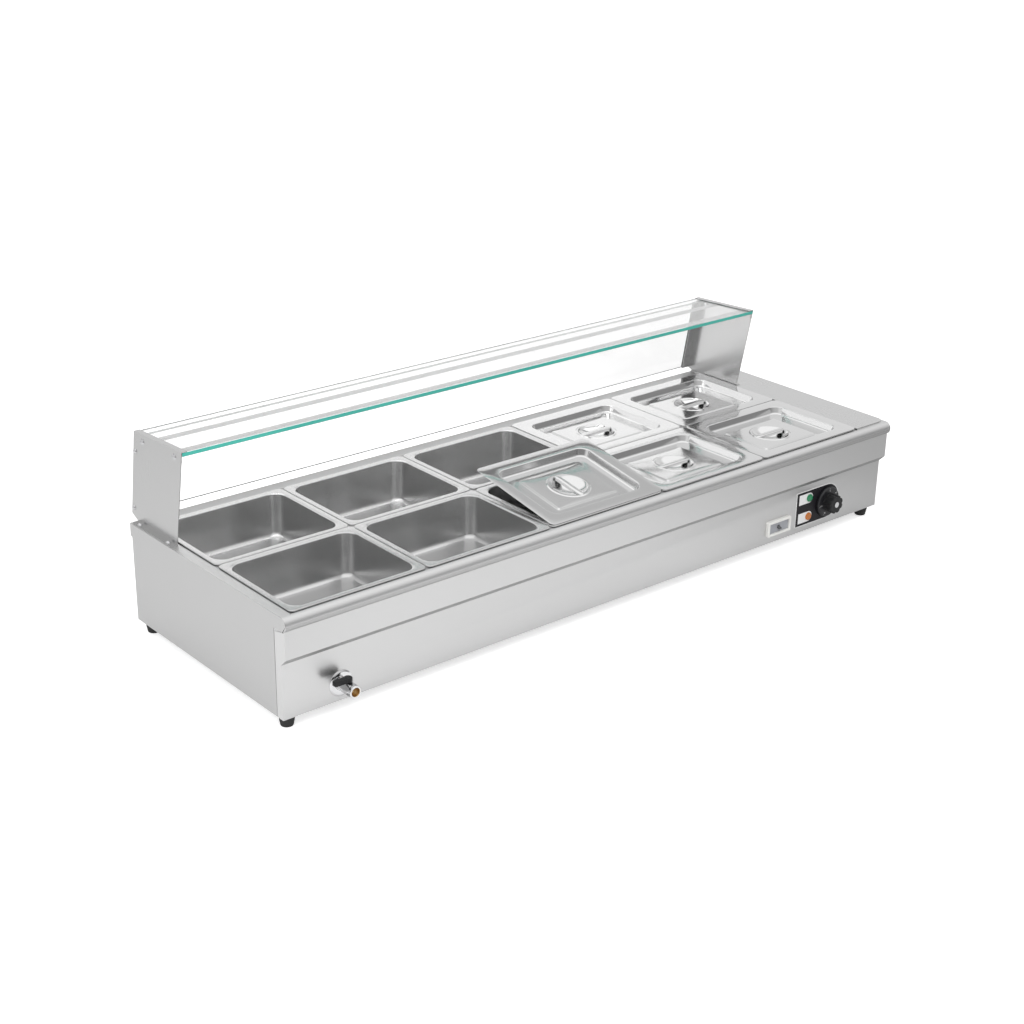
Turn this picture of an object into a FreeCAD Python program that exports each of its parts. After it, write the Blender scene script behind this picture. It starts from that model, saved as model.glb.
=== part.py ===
import FreeCAD, Part
import math
import os

os.makedirs("parts", exist_ok=True)

# Countertop bain-marie with ten half-size food pans, five lids and a glass sneeze guard.
# X runs along the length to the right, Y runs from the front to the back, Z is up.
# The origin is on the counter under the middle of the whole object. Millimetres.

# Casing
BODY_HEIGHT = 225.0
SHEET = 1.0
EDGE_DROP = 30.0
ROLL_RADIUS = 13.0
FRONT_OVERHANG = 7.0
SIDE_INSET = 2.0
UPPER_BAND = 89.0
STEP_BACK = 16.0
RETURN_FLANGE = 20.0
BASE_UPTURN = 15.0
DECK_RISE = 3.0
DECK_GAP = 2.0
DECK_CORNER = 20.0
DECK_EDGE_ROUND = 1.0
SEAM = 0.3
TOUCH = 0.01
PAST = 1.0
CUT_REACH = 40.0

# Feet
FOOT_HEIGHT = 27.0
FOOT_TOP_RADIUS = 18.0
FOOT_BOTTOM_RADIUS = 13.0
FOOT_EDGE_ROUND = 3.0
FOOT_INSET_X = 26.0
FOOT_INSET_Y = 25.0
FOOT_BOLT_RADIUS = 3.0
FOOT_BOLT_RISE = 9.0

# Pans
COLUMNS = 5
ROWS = 2
PAN_WIDTH = 325.0
PAN_LENGTH = 265.0
PAN_DEPTH = 100.0
PAN_SHEET = 0.8
PAN_GAP = 3.0
PAN_RIM = 13.0
PAN_RIM_CORNER = 12.0
PAN_CORNER = 30.0
PAN_TAPER = 8.0
PAN_BOTTOM_ROUND = 12.0
RIM_HEIGHT = 3.0
RIM_LIP = 1.2
FRONT_MARGIN = 20.0
REAR_MARGIN = 37.0
LEFT_MARGIN = 26.0
CONTROL_END = 107.0

# Well
OPENING_LAP = 4.0
TANK_GAP = 2.0
TANK_SHEET = 1.0
TANK_DEPTH = 126.0
TANK_FLANGE = 8.0
TANK_CORNER = 1.5
BAR_WIDTH = 14.0
BAR_HEIGHT = 10.0
INSULATION_THICKNESS = 12.0

# Lids
LID_SHEET = 0.8
LID_FLANGE = 30.0
LID_RECESS = 18.0
LID_CORNER = 26.0
LID_WALL_RUN = 5.0
PLATEAU_LENGTH = 176.0
PLATEAU_WIDTH = 138.0
PLATEAU_RISE = 2.5
PLATEAU_CORNER = 5.0
DISH_RADIUS = 45.0
DISH_DEPTH = 16.0
HANDLE_WIDTH = 16.0
HANDLE_THICKNESS = 2.0
HANDLE_LAP = 4.0
HANDLE_SKIRT = 4.0
HANDLE_ROUND = 0.9
HANDLE_SKIRT_INSET = 8.0
SEAT = 0.3
LOOSE_LID_TILT = 10.0
LOOSE_LID_SHIFT_X = 3.0
LOOSE_LID_SHIFT_Y = 4.0

# Heating and controls
ELEMENT_RADIUS = 4.0
ELEMENT_RISE = 12.0
ELEMENT_SPREAD = 220.0
ELEMENT_END_GAP = 120.0
ELEMENT_TAIL = 30.0
ELEMENT_CLEARANCE = 0.05
KNOB_FROM_RIGHT = 195.0
SKIRT_RADIUS = 38.0
SKIRT_THICKNESS = 9.0
SKIRT_CHAMFER = 3.0
GRIP_RADIUS = 23.0
GRIP_LENGTH = 24.0
GRIP_LOBES = 8
GRIP_LOBE_RADIUS = 5.0
GRIP_LOBE_OFFSET = 2.25
KNOB_GAP = 0.5
CAP_RADIUS = 7.0
CAP_THICKNESS = 1.2
CAP_ROUND = 0.6
SHAFT_RADIUS = 3.0
SHAFT_CLEARANCE = 0.05
SHAFT_PANEL_GAP = 0.2
SHAFT_REACH = 18.0
THERMOSTAT_SIZE = 42.0
THERMOSTAT_DEPTH = 32.0
BULB_RADIUS = 3.0
BULB_LENGTH = 90.0
CAPILLARY_RADIUS = 1.0
CAPILLARY_SETBACK = 6.0
FASCIA_BEFORE_KNOB = 110.0
FASCIA_HEIGHT = 90.0
FASCIA_RISE = 0.8
LAMP_BEFORE_KNOB = 64.0
LAMP_SPACING = 48.0
LAMP_RADIUS = 9.5
LAMP_RISE = 4.0
LAMP_NECK_RADIUS = 6.0
LAMP_NECK_LENGTH = 22.0
LAMP_ROUND = 2.0
BREAKER_BEFORE_KNOB = 173.0
BREAKER_ABOVE_BASE = 39.0
BREAKER_WIDTH = 80.0
BREAKER_HEIGHT = 38.0
BREAKER_RISE = 9.0
BREAKER_FRAME = 6.0
BREAKER_ROUND = 2.0
BREAKER_RECESS = 5.0
BREAKER_BEHIND = 30.0
TOGGLE_WIDTH = 9.0
TOGGLE_LENGTH = 8.0
TOGGLE_THICKNESS = 4.0
TOGGLE_PIVOT_RADIUS = 3.5
TOGGLE_CLEARANCE = 0.4
TOGGLE_REST = 20.0
TERMINAL_LENGTH = 60.0
TERMINAL_WIDTH = 25.0
TERMINAL_HEIGHT = 22.0
TERMINAL_FROM_BACK = 90.0
TERMINAL_WAYS = 3
TERMINAL_SCREW_RADIUS = 3.5
GLAND_RADIUS = 11.0
GLAND_BORE = 4.5
GLAND_REACH = 18.0
GLAND_NECK_RADIUS = 7.7
GLAND_HEX_LENGTH = 6.0
GLAND_NUT_LENGTH = 5.0
GLAND_FROM_RIGHT = 55.0
GLAND_ABOVE_BASE = 50.0

# Drain valve
VALVE_FROM_LEFT = 138.0
VALVE_ABOVE_BASE = 38.0
ESCUTCHEON_RADIUS = 28.0
ESCUTCHEON_THICKNESS = 3.0
ESCUTCHEON_ROUND = 1.8
VALVE_REACH = 50.0
VALVE_BODY_RADIUS = 12.5
VALVE_BORE = 9.3
HEX_ACROSS = 25.0
HEX_START = 8.0
HEX_LENGTH = 30.0
MOUTH_RADIUS = 13.5
MOUTH_CHAMFER = 1.1
BALL_RADIUS = 10.5
BALL_GAP = 0.2
BALL_BORE = 7.0
BALL_SEAT_REACH = 11.0
STEM_ROOT = 8.9
STEM_RADIUS = 4.0
STEM_CLEARANCE = 0.05
STEM_RISE = 20.0
BALL_OFFSET = 21.0
LEVER_LENGTH = 34.0
LEVER_WIDTH = 15.0
LEVER_THICKNESS = 9.0
LEVER_HUB_RADIUS = 9.0
LEVER_ROUND = 2.25
LEVER_GAP = 0.6
LEVER_CORNER = 5.0
PIPE_RADIUS = 10.5
PIPE_WALL = 1.5
ELBOW_BACK = 55.0

# Sneeze guard, with Y measured forward from the casing's back edge and Z above the top plate
GUARD_SHEET = 1.5
GUARD_PLANE = 18.0
GUARD_FOOT_FRONT = 165.0
GUARD_FOOT_BACK = 4.0
GUARD_REAR_OVERHANG = 21.0
GUARD_REAR_LIFT = 12.0
GUARD_TOP_BACK = 12.0
GUARD_TOP_FRONT = 205.0
GUARD_HEIGHT_BACK = 205.0
GUARD_HEIGHT_FRONT = 215.0
GUARD_FOOT_WIDTH = 15.0
GUARD_FOOT_CHAMFER = 3.75
GUARD_TOP_FLANGE = 12.0
GUARD_RIGHT_GAP = 5.0
TOP_GLASS_THICKNESS = 8.0
REAR_GLASS_THICKNESS = 6.0
GLASS_SIDE_GAP = 0.5
GLASS_SEAT = 0.3
REAR_GLASS_SETBACK = 5.0
REAR_GLASS_BOTTOM = 14.0
REAR_GLASS_DROP = 16.0
CHANNEL_LIP = 24.0
CHANNEL_SHEET = 1.2
BRACKET_LEG = 14.0
BRACKET_SHEET = 1.5
BRACKET_FROM_BACK = 15.0
BRACKET_FROM_FRONT = 7.0
BIG_BOLT_RADIUS = 3.0
BIG_DOME_RADIUS = 8.0
BIG_NUT_RADIUS = 5.5
RIVET_RADIUS = 2.0
RIVET_DOME_RADIUS = 6.0
RIVET_TAIL_RADIUS = 3.1
FOOT_BOLT_DOME_RADIUS = 6.0
DOME_RISE = 4.0
NUT_THICKNESS = 3.5
TOP_BOLT_INSET = 32.0
REAR_RIVET_FROM_FOOT = 16.5
REAR_RIVET_FROM_TOP = 44.0
FOOT_SCREW_INSET = 22.4

# Places worked out from the sizes above. The casing's length and depth follow its pans.
PITCH_X = PAN_WIDTH + PAN_GAP
PITCH_Y = PAN_LENGTH + PAN_GAP
CASING_LENGTH = LEFT_MARGIN + COLUMNS * PITCH_X - PAN_GAP + CONTROL_END
CASING_DEPTH = FRONT_MARGIN + ROWS * PITCH_Y - PAN_GAP + REAR_MARGIN
TOP = FOOT_HEIGHT + BODY_HEIGHT
LEFT = -CASING_LENGTH / 2
RIGHT = CASING_LENGTH / 2
SPOUT_BEYOND_LIP = VALVE_REACH - FRONT_OVERHANG - STEP_BACK
FRONT = -(CASING_DEPTH + SPOUT_BEYOND_LIP + GUARD_REAR_OVERHANG) / 2 + SPOUT_BEYOND_LIP
BACK = FRONT + CASING_DEPTH
UPPER_FACE = FRONT + FRONT_OVERHANG
LOWER_FACE = UPPER_FACE + STEP_BACK
PANEL_SIDE_LEFT = LEFT + SIDE_INSET
PANEL_SIDE_RIGHT = RIGHT - SIDE_INSET
PANEL_BACK = BACK - SIDE_INSET
LOWER_BAND_TOP = TOP - UPPER_BAND - STEP_BACK
GRID_LEFT = LEFT + LEFT_MARGIN
GRID_RIGHT = GRID_LEFT + COLUMNS * PITCH_X - PAN_GAP
GRID_FRONT = FRONT + FRONT_MARGIN
GRID_BACK = GRID_FRONT + ROWS * PITCH_Y - PAN_GAP
OPENING_LEFT = GRID_LEFT + OPENING_LAP
OPENING_RIGHT = GRID_RIGHT - OPENING_LAP
OPENING_FRONT = GRID_FRONT + OPENING_LAP
OPENING_BACK = GRID_BACK - OPENING_LAP
TANK_TOP = TOP - SHEET
TANK_FLOOR = TANK_TOP - TANK_DEPTH
RIM_TOP = TOP + RIM_HEIGHT
LID_BASE = RIM_TOP + SEAT
KNOB_X = RIGHT - KNOB_FROM_RIGHT
KNOB_Z = (FOOT_HEIGHT + LOWER_BAND_TOP) / 2
VALVE_X = LEFT + VALVE_FROM_LEFT
VALVE_Z = FOOT_HEIGHT + VALVE_ABOVE_BASE
LAMP_X = KNOB_X - LAMP_BEFORE_KNOB
FASCIA_LEFT = KNOB_X - FASCIA_BEFORE_KNOB
BREAKER_X = KNOB_X - BREAKER_BEFORE_KNOB
BREAKER_Z = FOOT_HEIGHT + BREAKER_ABOVE_BASE
GLAND_Z = FOOT_HEIGHT + GLAND_ABOVE_BASE
GUARD_LEFT = LEFT + GUARD_PLANE
GUARD_RIGHT = GRID_RIGHT + GUARD_RIGHT_GAP + GUARD_SHEET
DECK_TOP = TOP + DECK_RISE


def vec(x, y, z):
    """Return a vector in millimetres."""
    return FreeCAD.Vector(x, y, z)


def box(x0, x1, y0, y1, z0, z1):
    """Return a box between two corners."""
    return Part.makeBox(x1 - x0, y1 - y0, z1 - z0, vec(x0, y0, z0))


def cylinder(centre, axis, radius, length):
    """Return a cylinder that starts at centre and runs along axis."""
    return Part.makeCylinder(radius, length, centre, axis)


def rounded_outline(x0, x1, y0, y1, radius, z):
    """Return a closed wire of a rectangle with round corners at height z."""
    corners = [(x1 - radius, y0 + radius, -90), (x1 - radius, y1 - radius, 0),
               (x0 + radius, y1 - radius, 90), (x0 + radius, y0 + radius, 180)]
    edges = []
    previous = None
    first = None
    for cx, cy, start in corners:
        points = []
        for step in (0, 45, 90):
            angle = math.radians(start + step)
            points.append(vec(cx + radius * math.cos(angle), cy + radius * math.sin(angle), z))
        if previous is not None:
            edges.append(Part.LineSegment(previous, points[0]).toShape())
        else:
            first = points[0]
        edges.append(Part.Arc(points[0], points[1], points[2]).toShape())
        previous = points[2]
    edges.append(Part.LineSegment(previous, first).toShape())
    return Part.Wire(edges)


def rounded_block(x0, x1, y0, y1, radius, z0, z1):
    """Return a block with round upright corners."""
    face = Part.Face(rounded_outline(x0, x1, y0, y1, radius, z0))
    return face.extrude(vec(0, 0, z1 - z0))


def tapered_block(x0, x1, y0, y1, radius, z_low, z_high, run):
    """Return a round-cornered block that narrows by run on each side down to z_low."""
    low = rounded_outline(x0 + run, x1 - run, y0 + run, y1 - run, radius - run / 2, z_low)
    high = rounded_outline(x0, x1, y0, y1, radius, z_high)
    return Part.makeLoft([low, high], True, True)


def prism_along_x(points, x0, x1):
    """Return a prism of a (y, z) outline between two x values."""
    wire = Part.makePolygon([vec(x0, y, z) for y, z in points + points[:1]])
    return Part.Face(wire).extrude(vec(x1 - x0, 0, 0))


def hexagon(centre, across, length):
    """Return a six-sided prism along Y, measured across its flats."""
    radius = across / 2 / math.cos(math.pi / 6)
    points = []
    for index in range(7):
        angle = math.radians(60 * index)
        points.append(centre + vec(radius * math.cos(angle), 0, radius * math.sin(angle)))
    return Part.Face(Part.makePolygon(points)).extrude(vec(0, length, 0))


def export(shapes, name):
    """Write one node as a STEP file from one solid or a group of solids."""
    solids = []
    for shape in shapes:
        solids.extend(shape.Solids)
    solid = solids[0] if len(solids) == 1 else Part.makeCompound(solids)
    solid.exportStep("parts/" + name + ".step")
    print(name, len(solids), round(solid.Volume, 1), solid.isValid())


def cap_sphere_radius(radius, rise):
    """Return the radius of the sphere whose cap has this rim radius and rise."""
    return (radius ** 2 + rise ** 2) / (2 * rise)


def edges_near(shape, x=None, y=None, z=None, rings=False):
    """Return the edges whose middle lies at the given coordinates, or only the closed ones."""
    found = []
    for edge in shape.Edges:
        middle = edge.valueAt((edge.FirstParameter + edge.LastParameter) / 2)
        pairs = ((middle.x, x), (middle.y, y), (middle.z, z))
        near = all(goal is None or abs(value - goal) < TOUCH for value, goal in pairs)
        if near and (edge.Closed or not rings):
            found.append(edge)
    return found


# Casing

def rolled_shell(inset, z_low):
    """Return the outer block of the top plate, drawn in by inset, with its rolled front edge."""
    block = box(LEFT + inset, RIGHT - inset, FRONT + inset, BACK - inset, z_low, TOP - inset)
    return block.makeFillet(ROLL_RADIUS - inset, edges_near(block, y=FRONT + inset, z=TOP - inset))


def make_top_plate():
    """Folded cover with a rolled front edge, side aprons and one long well opening."""
    plate = rolled_shell(0, TOP - EDGE_DROP).cut(rolled_shell(SHEET, TOP - EDGE_DROP - PAST))
    lip_return = box(LEFT + SHEET, RIGHT - SHEET, FRONT + SHEET, UPPER_FACE - SEAM,
                     TOP - EDGE_DROP, TOP - EDGE_DROP + SHEET)
    plate = plate.fuse(lip_return)
    opening = rounded_block(OPENING_LEFT, OPENING_RIGHT, OPENING_FRONT, OPENING_BACK,
                            TANK_CORNER, TOP - EDGE_DROP, TOP + PAST)
    return plate.cut(opening)


def make_deck_cover():
    """Raised cover plate over the electrical end."""
    x0 = GRID_RIGHT + DECK_GAP
    cover = box(x0, RIGHT - DECK_GAP, GRID_FRONT, BACK - DECK_GAP, TOP, DECK_TOP)
    cover = cover.makeFillet(DECK_CORNER, edges_near(cover, x=RIGHT - DECK_GAP, y=GRID_FRONT))
    return cover.makeFillet(DECK_EDGE_ROUND, edges_near(cover, z=DECK_TOP))


def front_profile(offset):
    """Return the (y, z) corners of the two-level front, moved back by offset."""
    fold = TOP - UPPER_BAND
    shift = offset * math.tan(math.pi / 8)
    return [(UPPER_FACE + offset, TOP - ROLL_RADIUS), (UPPER_FACE + offset, fold - shift),
            (LOWER_FACE + offset, fold - STEP_BACK - shift), (LOWER_FACE + offset, FOOT_HEIGHT)]


def make_front_panel():
    """Front in two levels, folded round at both ends."""
    outline = front_profile(0) + front_profile(SHEET)[::-1]
    panel = prism_along_x(outline, PANEL_SIDE_LEFT, PANEL_SIDE_RIGHT)
    seam_y = LOWER_FACE + RETURN_FLANGE
    flange = front_profile(0) + [(seam_y, FOOT_HEIGHT), (seam_y, TOP - SHEET - SEAM)]
    for x0 in (PANEL_SIDE_LEFT, PANEL_SIDE_RIGHT - SHEET):
        panel = panel.fuse(prism_along_x(flange, x0, x0 + SHEET))
    y0 = LOWER_FACE - PAST
    y1 = LOWER_FACE + SHEET + PAST
    x0, x1, z0, z1 = breaker_span(BREAKER_FRAME)
    holes = [panel_cylinder(VALVE_X, VALVE_Z, PIPE_RADIUS + SEAM, y0, y1),
             panel_cylinder(KNOB_X, KNOB_Z, SHAFT_RADIUS + SHAFT_PANEL_GAP, y0, y1),
             box(x0, x1, y0, y1, z0, z1)]
    for z in lamp_heights():
        holes.append(panel_cylinder(LAMP_X, z, LAMP_NECK_RADIUS + SEAM, y0, y1))
    return panel.cut(Part.makeCompound(holes)).removeSplitter()


def make_side_panel(x0):
    """Flat side sheet behind the front panel's end flange."""
    return box(x0, x0 + SHEET, LOWER_FACE + RETURN_FLANGE + SEAM, PANEL_BACK - SHEET - SEAM,
               FOOT_HEIGHT, TOP - SHEET - SEAM)


def make_back_panel():
    """Flat back sheet with the hole of the cable gland."""
    panel = box(PANEL_SIDE_LEFT, PANEL_SIDE_RIGHT, PANEL_BACK - SHEET, PANEL_BACK,
                FOOT_HEIGHT, TOP - SHEET - SEAM)
    return panel.cut(panel_cylinder(RIGHT - GLAND_FROM_RIGHT, GLAND_Z, GLAND_NECK_RADIUS + SEAM,
                                    PANEL_BACK - SHEET - PAST, PANEL_BACK + PAST))


def make_base_tray():
    """Bottom sheet with upturned edges inside the side and back panels."""
    x0 = PANEL_SIDE_LEFT + SHEET + SEAM
    x1 = PANEL_SIDE_RIGHT - SHEET - SEAM
    y0 = LOWER_FACE + SHEET + SEAM
    y1 = PANEL_BACK - SHEET - SEAM
    tray = box(x0, x1, y0, y1, FOOT_HEIGHT, FOOT_HEIGHT + BASE_UPTURN)
    tray = tray.cut(box(x0 + SHEET, x1 - SHEET, y0 + SHEET, y1 - SHEET,
                        FOOT_HEIGHT + SHEET, FOOT_HEIGHT + BASE_UPTURN + PAST))
    for x, y in foot_places():
        tray = tray.cut(cylinder(vec(x, y, 0), vec(0, 0, 1), FOOT_BOLT_RADIUS + SEAM, CUT_REACH))
    return tray


def foot_places():
    """Return the four (x, y) places of the feet."""
    places = []
    for x in (LEFT + FOOT_INSET_X, RIGHT - FOOT_INSET_X):
        for y in (LOWER_FACE + FOOT_INSET_Y, BACK - FOOT_INSET_Y):
            places.append((x, y))
    return places


def make_feet():
    """Tapered rubber feet, each with its bolt moulded in."""
    feet = []
    for x, y in foot_places():
        foot = Part.makeCone(FOOT_BOTTOM_RADIUS, FOOT_TOP_RADIUS, FOOT_HEIGHT, vec(x, y, 0), vec(0, 0, 1))
        foot = foot.makeFillet(FOOT_EDGE_ROUND, edges_near(foot, z=0, rings=True))
        bolt = cylinder(vec(x, y, FOOT_HEIGHT / 2), vec(0, 0, 1), FOOT_BOLT_RADIUS,
                        FOOT_HEIGHT / 2 + FOOT_BOLT_RISE)
        feet.append(foot.fuse(bolt))
    return feet


# Well

def make_water_tank():
    """Deep folded well hung under the top plate, with its drain hole."""
    x0 = OPENING_LEFT + TANK_GAP
    x1 = OPENING_RIGHT - TANK_GAP
    y0 = OPENING_FRONT + TANK_GAP
    y1 = OPENING_BACK - TANK_GAP
    outer = rounded_block(x0 - TANK_SHEET, x1 + TANK_SHEET, y0 - TANK_SHEET, y1 + TANK_SHEET,
                          TANK_CORNER, TANK_FLOOR - TANK_SHEET, TANK_TOP)
    flange = rounded_block(x0 - TANK_FLANGE, x1 + TANK_FLANGE, y0 - TANK_FLANGE, y1 + TANK_FLANGE,
                           TANK_CORNER + TANK_FLANGE, TANK_TOP - TANK_SHEET, TANK_TOP)
    inner = rounded_block(x0, x1, y0, y1, TANK_CORNER - TANK_SHEET, TANK_FLOOR, TANK_TOP + PAST)
    tank = outer.fuse(flange).cut(inner)
    holes = [cylinder(vec(VALVE_X, drain_y(), TANK_FLOOR - TANK_SHEET - PAST), vec(0, 0, 1),
                      PIPE_RADIUS - PIPE_WALL, TANK_SHEET + 2 * PAST)]
    for y in element_rows():
        holes.append(cylinder(vec(x1 - PAST, y, TANK_FLOOR + ELEMENT_RISE), vec(1, 0, 0),
                              ELEMENT_RADIUS + ELEMENT_CLEARANCE, TANK_SHEET + 2 * PAST))
    return tank.cut(Part.makeCompound(holes))


def drain_y():
    """Return the y of the upright part of the drain pipe."""
    return LOWER_FACE + ELBOW_BACK


def well_centre_y():
    """Return the middle of the well from front to back."""
    return (OPENING_FRONT + OPENING_BACK) / 2


def element_rows():
    """Return the y of the two long legs of the heating element."""
    return well_centre_y() - ELEMENT_SPREAD / 2, well_centre_y() + ELEMENT_SPREAD / 2


def column_gap_x(index):
    """Return the x of the gap to the right of a column, counted from 0."""
    return GRID_LEFT + (index + 1) * PITCH_X - PAN_GAP / 2


def row_gap_y():
    """Return the y of the gap between the two rows."""
    return GRID_FRONT + PITCH_Y - PAN_GAP / 2


def channel_bar(x0, x1, y0, y1):
    """Return an upside-down channel whose top is level with the top plate."""
    bar = box(x0, x1, y0, y1, TOP - BAR_HEIGHT, TOP)
    if x1 - x0 > y1 - y0:
        hollow = box(x0 - PAST, x1 + PAST, y0 + SHEET, y1 - SHEET, TOP - BAR_HEIGHT - PAST, TOP - SHEET)
    else:
        hollow = box(x0 + SHEET, x1 - SHEET, y0 - PAST, y1 + PAST, TOP - BAR_HEIGHT - PAST, TOP - SHEET)
    return bar.cut(hollow)


def centre_bar_sides():
    """Return the y of the centre bar's front and back sides."""
    return row_gap_y() - BAR_WIDTH / 2, row_gap_y() + BAR_WIDTH / 2


def make_centre_bar():
    """Long bar that carries the rims between the two rows."""
    inset = TANK_GAP + SEAM
    y0, y1 = centre_bar_sides()
    return channel_bar(OPENING_LEFT + inset, OPENING_RIGHT - inset, y0, y1)


def make_cross_bars():
    """Short bars that carry the rims between the columns."""
    inset = TANK_GAP + SEAM
    front_end, back_end = centre_bar_sides()
    bars = []
    for index in range(COLUMNS - 1):
        x0 = column_gap_x(index) - BAR_WIDTH / 2
        x1 = column_gap_x(index) + BAR_WIDTH / 2
        bars.append(channel_bar(x0, x1, OPENING_FRONT + inset, front_end))
        bars.append(channel_bar(x0, x1, back_end, OPENING_BACK - inset))
    return bars


def make_insulation():
    """Flat blanket under the tank floor, clear of the drain pipe and of the controls."""
    high = TANK_FLOOR - TANK_SHEET - SEAM
    return box(OPENING_LEFT, OPENING_RIGHT, drain_y() + PIPE_RADIUS * 2, OPENING_BACK,
               high - INSULATION_THICKNESS, high)


def make_heating_element():
    """Tubular element: one long U above the tank floor, its ends through the right wall."""
    z = TANK_FLOOR + ELEMENT_RISE
    y0, y1 = element_rows()
    bend_x = OPENING_LEFT + ELEMENT_END_GAP + ELEMENT_SPREAD / 2
    end_x = OPENING_RIGHT - TANK_GAP + TANK_SHEET + ELEMENT_TAIL
    tip = vec(bend_x - ELEMENT_SPREAD / 2, well_centre_y(), z)
    front = Part.LineSegment(vec(end_x, y0, z), vec(bend_x, y0, z)).toShape()
    bend = Part.Arc(vec(bend_x, y0, z), tip, vec(bend_x, y1, z)).toShape()
    rear = Part.LineSegment(vec(bend_x, y1, z), vec(end_x, y1, z)).toShape()
    path = Part.Wire([front, bend, rear])
    ring = Part.Wire([Part.makeCircle(ELEMENT_RADIUS, vec(end_x, y0, z), vec(1, 0, 0))])
    return path.makePipeShell([ring], True, False)


# Pans and lids

def pan_corner(column, row):
    """Return the front left corner of a pan's rim, columns and rows counted from 0."""
    return GRID_LEFT + column * PITCH_X, GRID_FRONT + row * PITCH_Y


def make_pan(column, row):
    """Deep-drawn pan with a flat rim whose edge turns down onto the top plate."""
    x0, y0 = pan_corner(column, row)
    x1 = x0 + PAN_WIDTH
    y1 = y0 + PAN_LENGTH
    rim = rounded_block(x0, x1, y0, y1, PAN_RIM_CORNER, TOP + SEAT, RIM_TOP)
    under = rounded_block(x0 + RIM_LIP, x1 - RIM_LIP, y0 + RIM_LIP, y1 - RIM_LIP,
                          PAN_RIM_CORNER - RIM_LIP, TOP, RIM_TOP - PAN_SHEET)
    rim = rim.cut(under)
    outside = tapered_block(x0 + PAN_RIM, x1 - PAN_RIM, y0 + PAN_RIM, y1 - PAN_RIM, PAN_CORNER,
                            RIM_TOP - PAN_DEPTH, RIM_TOP - PAN_SHEET / 2, PAN_TAPER)
    outside = outside.makeFillet(PAN_BOTTOM_ROUND, edges_near(outside, z=RIM_TOP - PAN_DEPTH))
    inset = PAN_RIM + PAN_SHEET
    inside = tapered_block(x0 + inset, x1 - inset, y0 + inset, y1 - inset, PAN_CORNER - PAN_SHEET,
                           RIM_TOP - PAN_DEPTH + PAN_SHEET, RIM_TOP + PAST, PAN_TAPER)
    inside = inside.makeFillet(PAN_BOTTOM_ROUND - PAN_SHEET,
                               edges_near(inside, z=RIM_TOP - PAN_DEPTH + PAN_SHEET))
    return rim.fuse(outside).cut(inside)


def make_lid(x0, y0):
    """Pressed lid: flat flange, sunken floor, raised plateau and a round finger dish."""
    x1 = x0 + PAN_WIDTH
    y1 = y0 + PAN_LENGTH
    top = LID_BASE + LID_SHEET
    flange = rounded_block(x0, x1, y0, y1, PAN_RIM_CORNER, LID_BASE, top)
    edge = LID_FLANGE
    floor = top - LID_RECESS
    outside = tapered_block(x0 + edge, x1 - edge, y0 + edge, y1 - edge, LID_CORNER,
                            floor - LID_SHEET, LID_BASE + LID_SHEET / 2, LID_WALL_RUN)
    edge = LID_FLANGE + LID_SHEET
    inside = tapered_block(x0 + edge, x1 - edge, y0 + edge, y1 - edge, LID_CORNER - LID_SHEET,
                           floor, top + PAST, LID_WALL_RUN)
    lid = flange.fuse(outside).cut(inside)
    cx = (x0 + x1) / 2
    cy = (y0 + y1) / 2
    half_x = PLATEAU_LENGTH / 2
    half_y = PLATEAU_WIDTH / 2
    level = floor + PLATEAU_RISE
    raised = rounded_block(cx - half_x, cx + half_x, cy - half_y, cy + half_y, PLATEAU_CORNER,
                           floor - LID_SHEET / 2, level)
    half_x -= LID_SHEET
    half_y -= LID_SHEET
    hollow = rounded_block(cx - half_x, cx + half_x, cy - half_y, cy + half_y,
                           PLATEAU_CORNER - LID_SHEET, floor - LID_SHEET - PAST, level - LID_SHEET)
    lid = lid.fuse(raised).cut(hollow)
    ball = cap_sphere_radius(DISH_RADIUS, DISH_DEPTH)
    centre = vec(cx, cy, level - DISH_DEPTH + ball)
    below = box(cx - ball, cx + ball, cy - ball, cy + ball, level - 2 * DISH_DEPTH, level - LID_SHEET / 2)
    dish = Part.makeSphere(ball + LID_SHEET, centre).common(below)
    return lid.fuse(dish).cut(Part.makeSphere(ball, centre))


def make_lid_handle(x0, y0, along_x):
    """Strap across the finger dish, level with the plateau, with turned-down sides."""
    cx = x0 + PAN_WIDTH / 2
    cy = y0 + PAN_LENGTH / 2
    level = LID_BASE + LID_SHEET - LID_RECESS + PLATEAU_RISE
    reach = DISH_RADIUS + HANDLE_LAP
    top = level + HANDLE_THICKNESS
    strap = box(cx - reach, cx + reach, cy - HANDLE_WIDTH / 2, cy + HANDLE_WIDTH / 2, level, top)
    strap = strap.makeFillet(HANDLE_ROUND, edges_near(strap, z=top))
    short = DISH_RADIUS - HANDLE_SKIRT_INSET
    for side in (-1, 1):
        y = cy + side * (HANDLE_WIDTH - HANDLE_THICKNESS) / 2
        skirt = box(cx - short, cx + short, y - HANDLE_THICKNESS / 2, y + HANDLE_THICKNESS / 2,
                    level - HANDLE_SKIRT, top - HANDLE_THICKNESS / 2)
        strap = strap.fuse(skirt)
    if not along_x:
        strap.rotate(vec(cx, cy, 0), vec(0, 0, 1), 90)
    return strap


def place_loose(shape, x0, y0):
    """Tilt the loose lid about its front edge, where it rests on the pan's front rim."""
    shape.translate(vec(LOOSE_LID_SHIFT_X, LOOSE_LID_SHIFT_Y, 0))
    shape.rotate(vec(x0, y0 + LOOSE_LID_SHIFT_Y, LID_BASE), vec(1, 0, 0), LOOSE_LID_TILT)
    return shape


# Controls

def panel_cylinder(x, z, radius, y_front, y_back):
    """Return a cylinder square to the front panel between two y values."""
    return cylinder(vec(x, y_front, z), vec(0, 1, 0), radius, y_back - y_front)


def lamp_heights():
    """Return the z of the lower and the upper lamp."""
    return KNOB_Z - LAMP_SPACING / 2, KNOB_Z + LAMP_SPACING / 2


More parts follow.
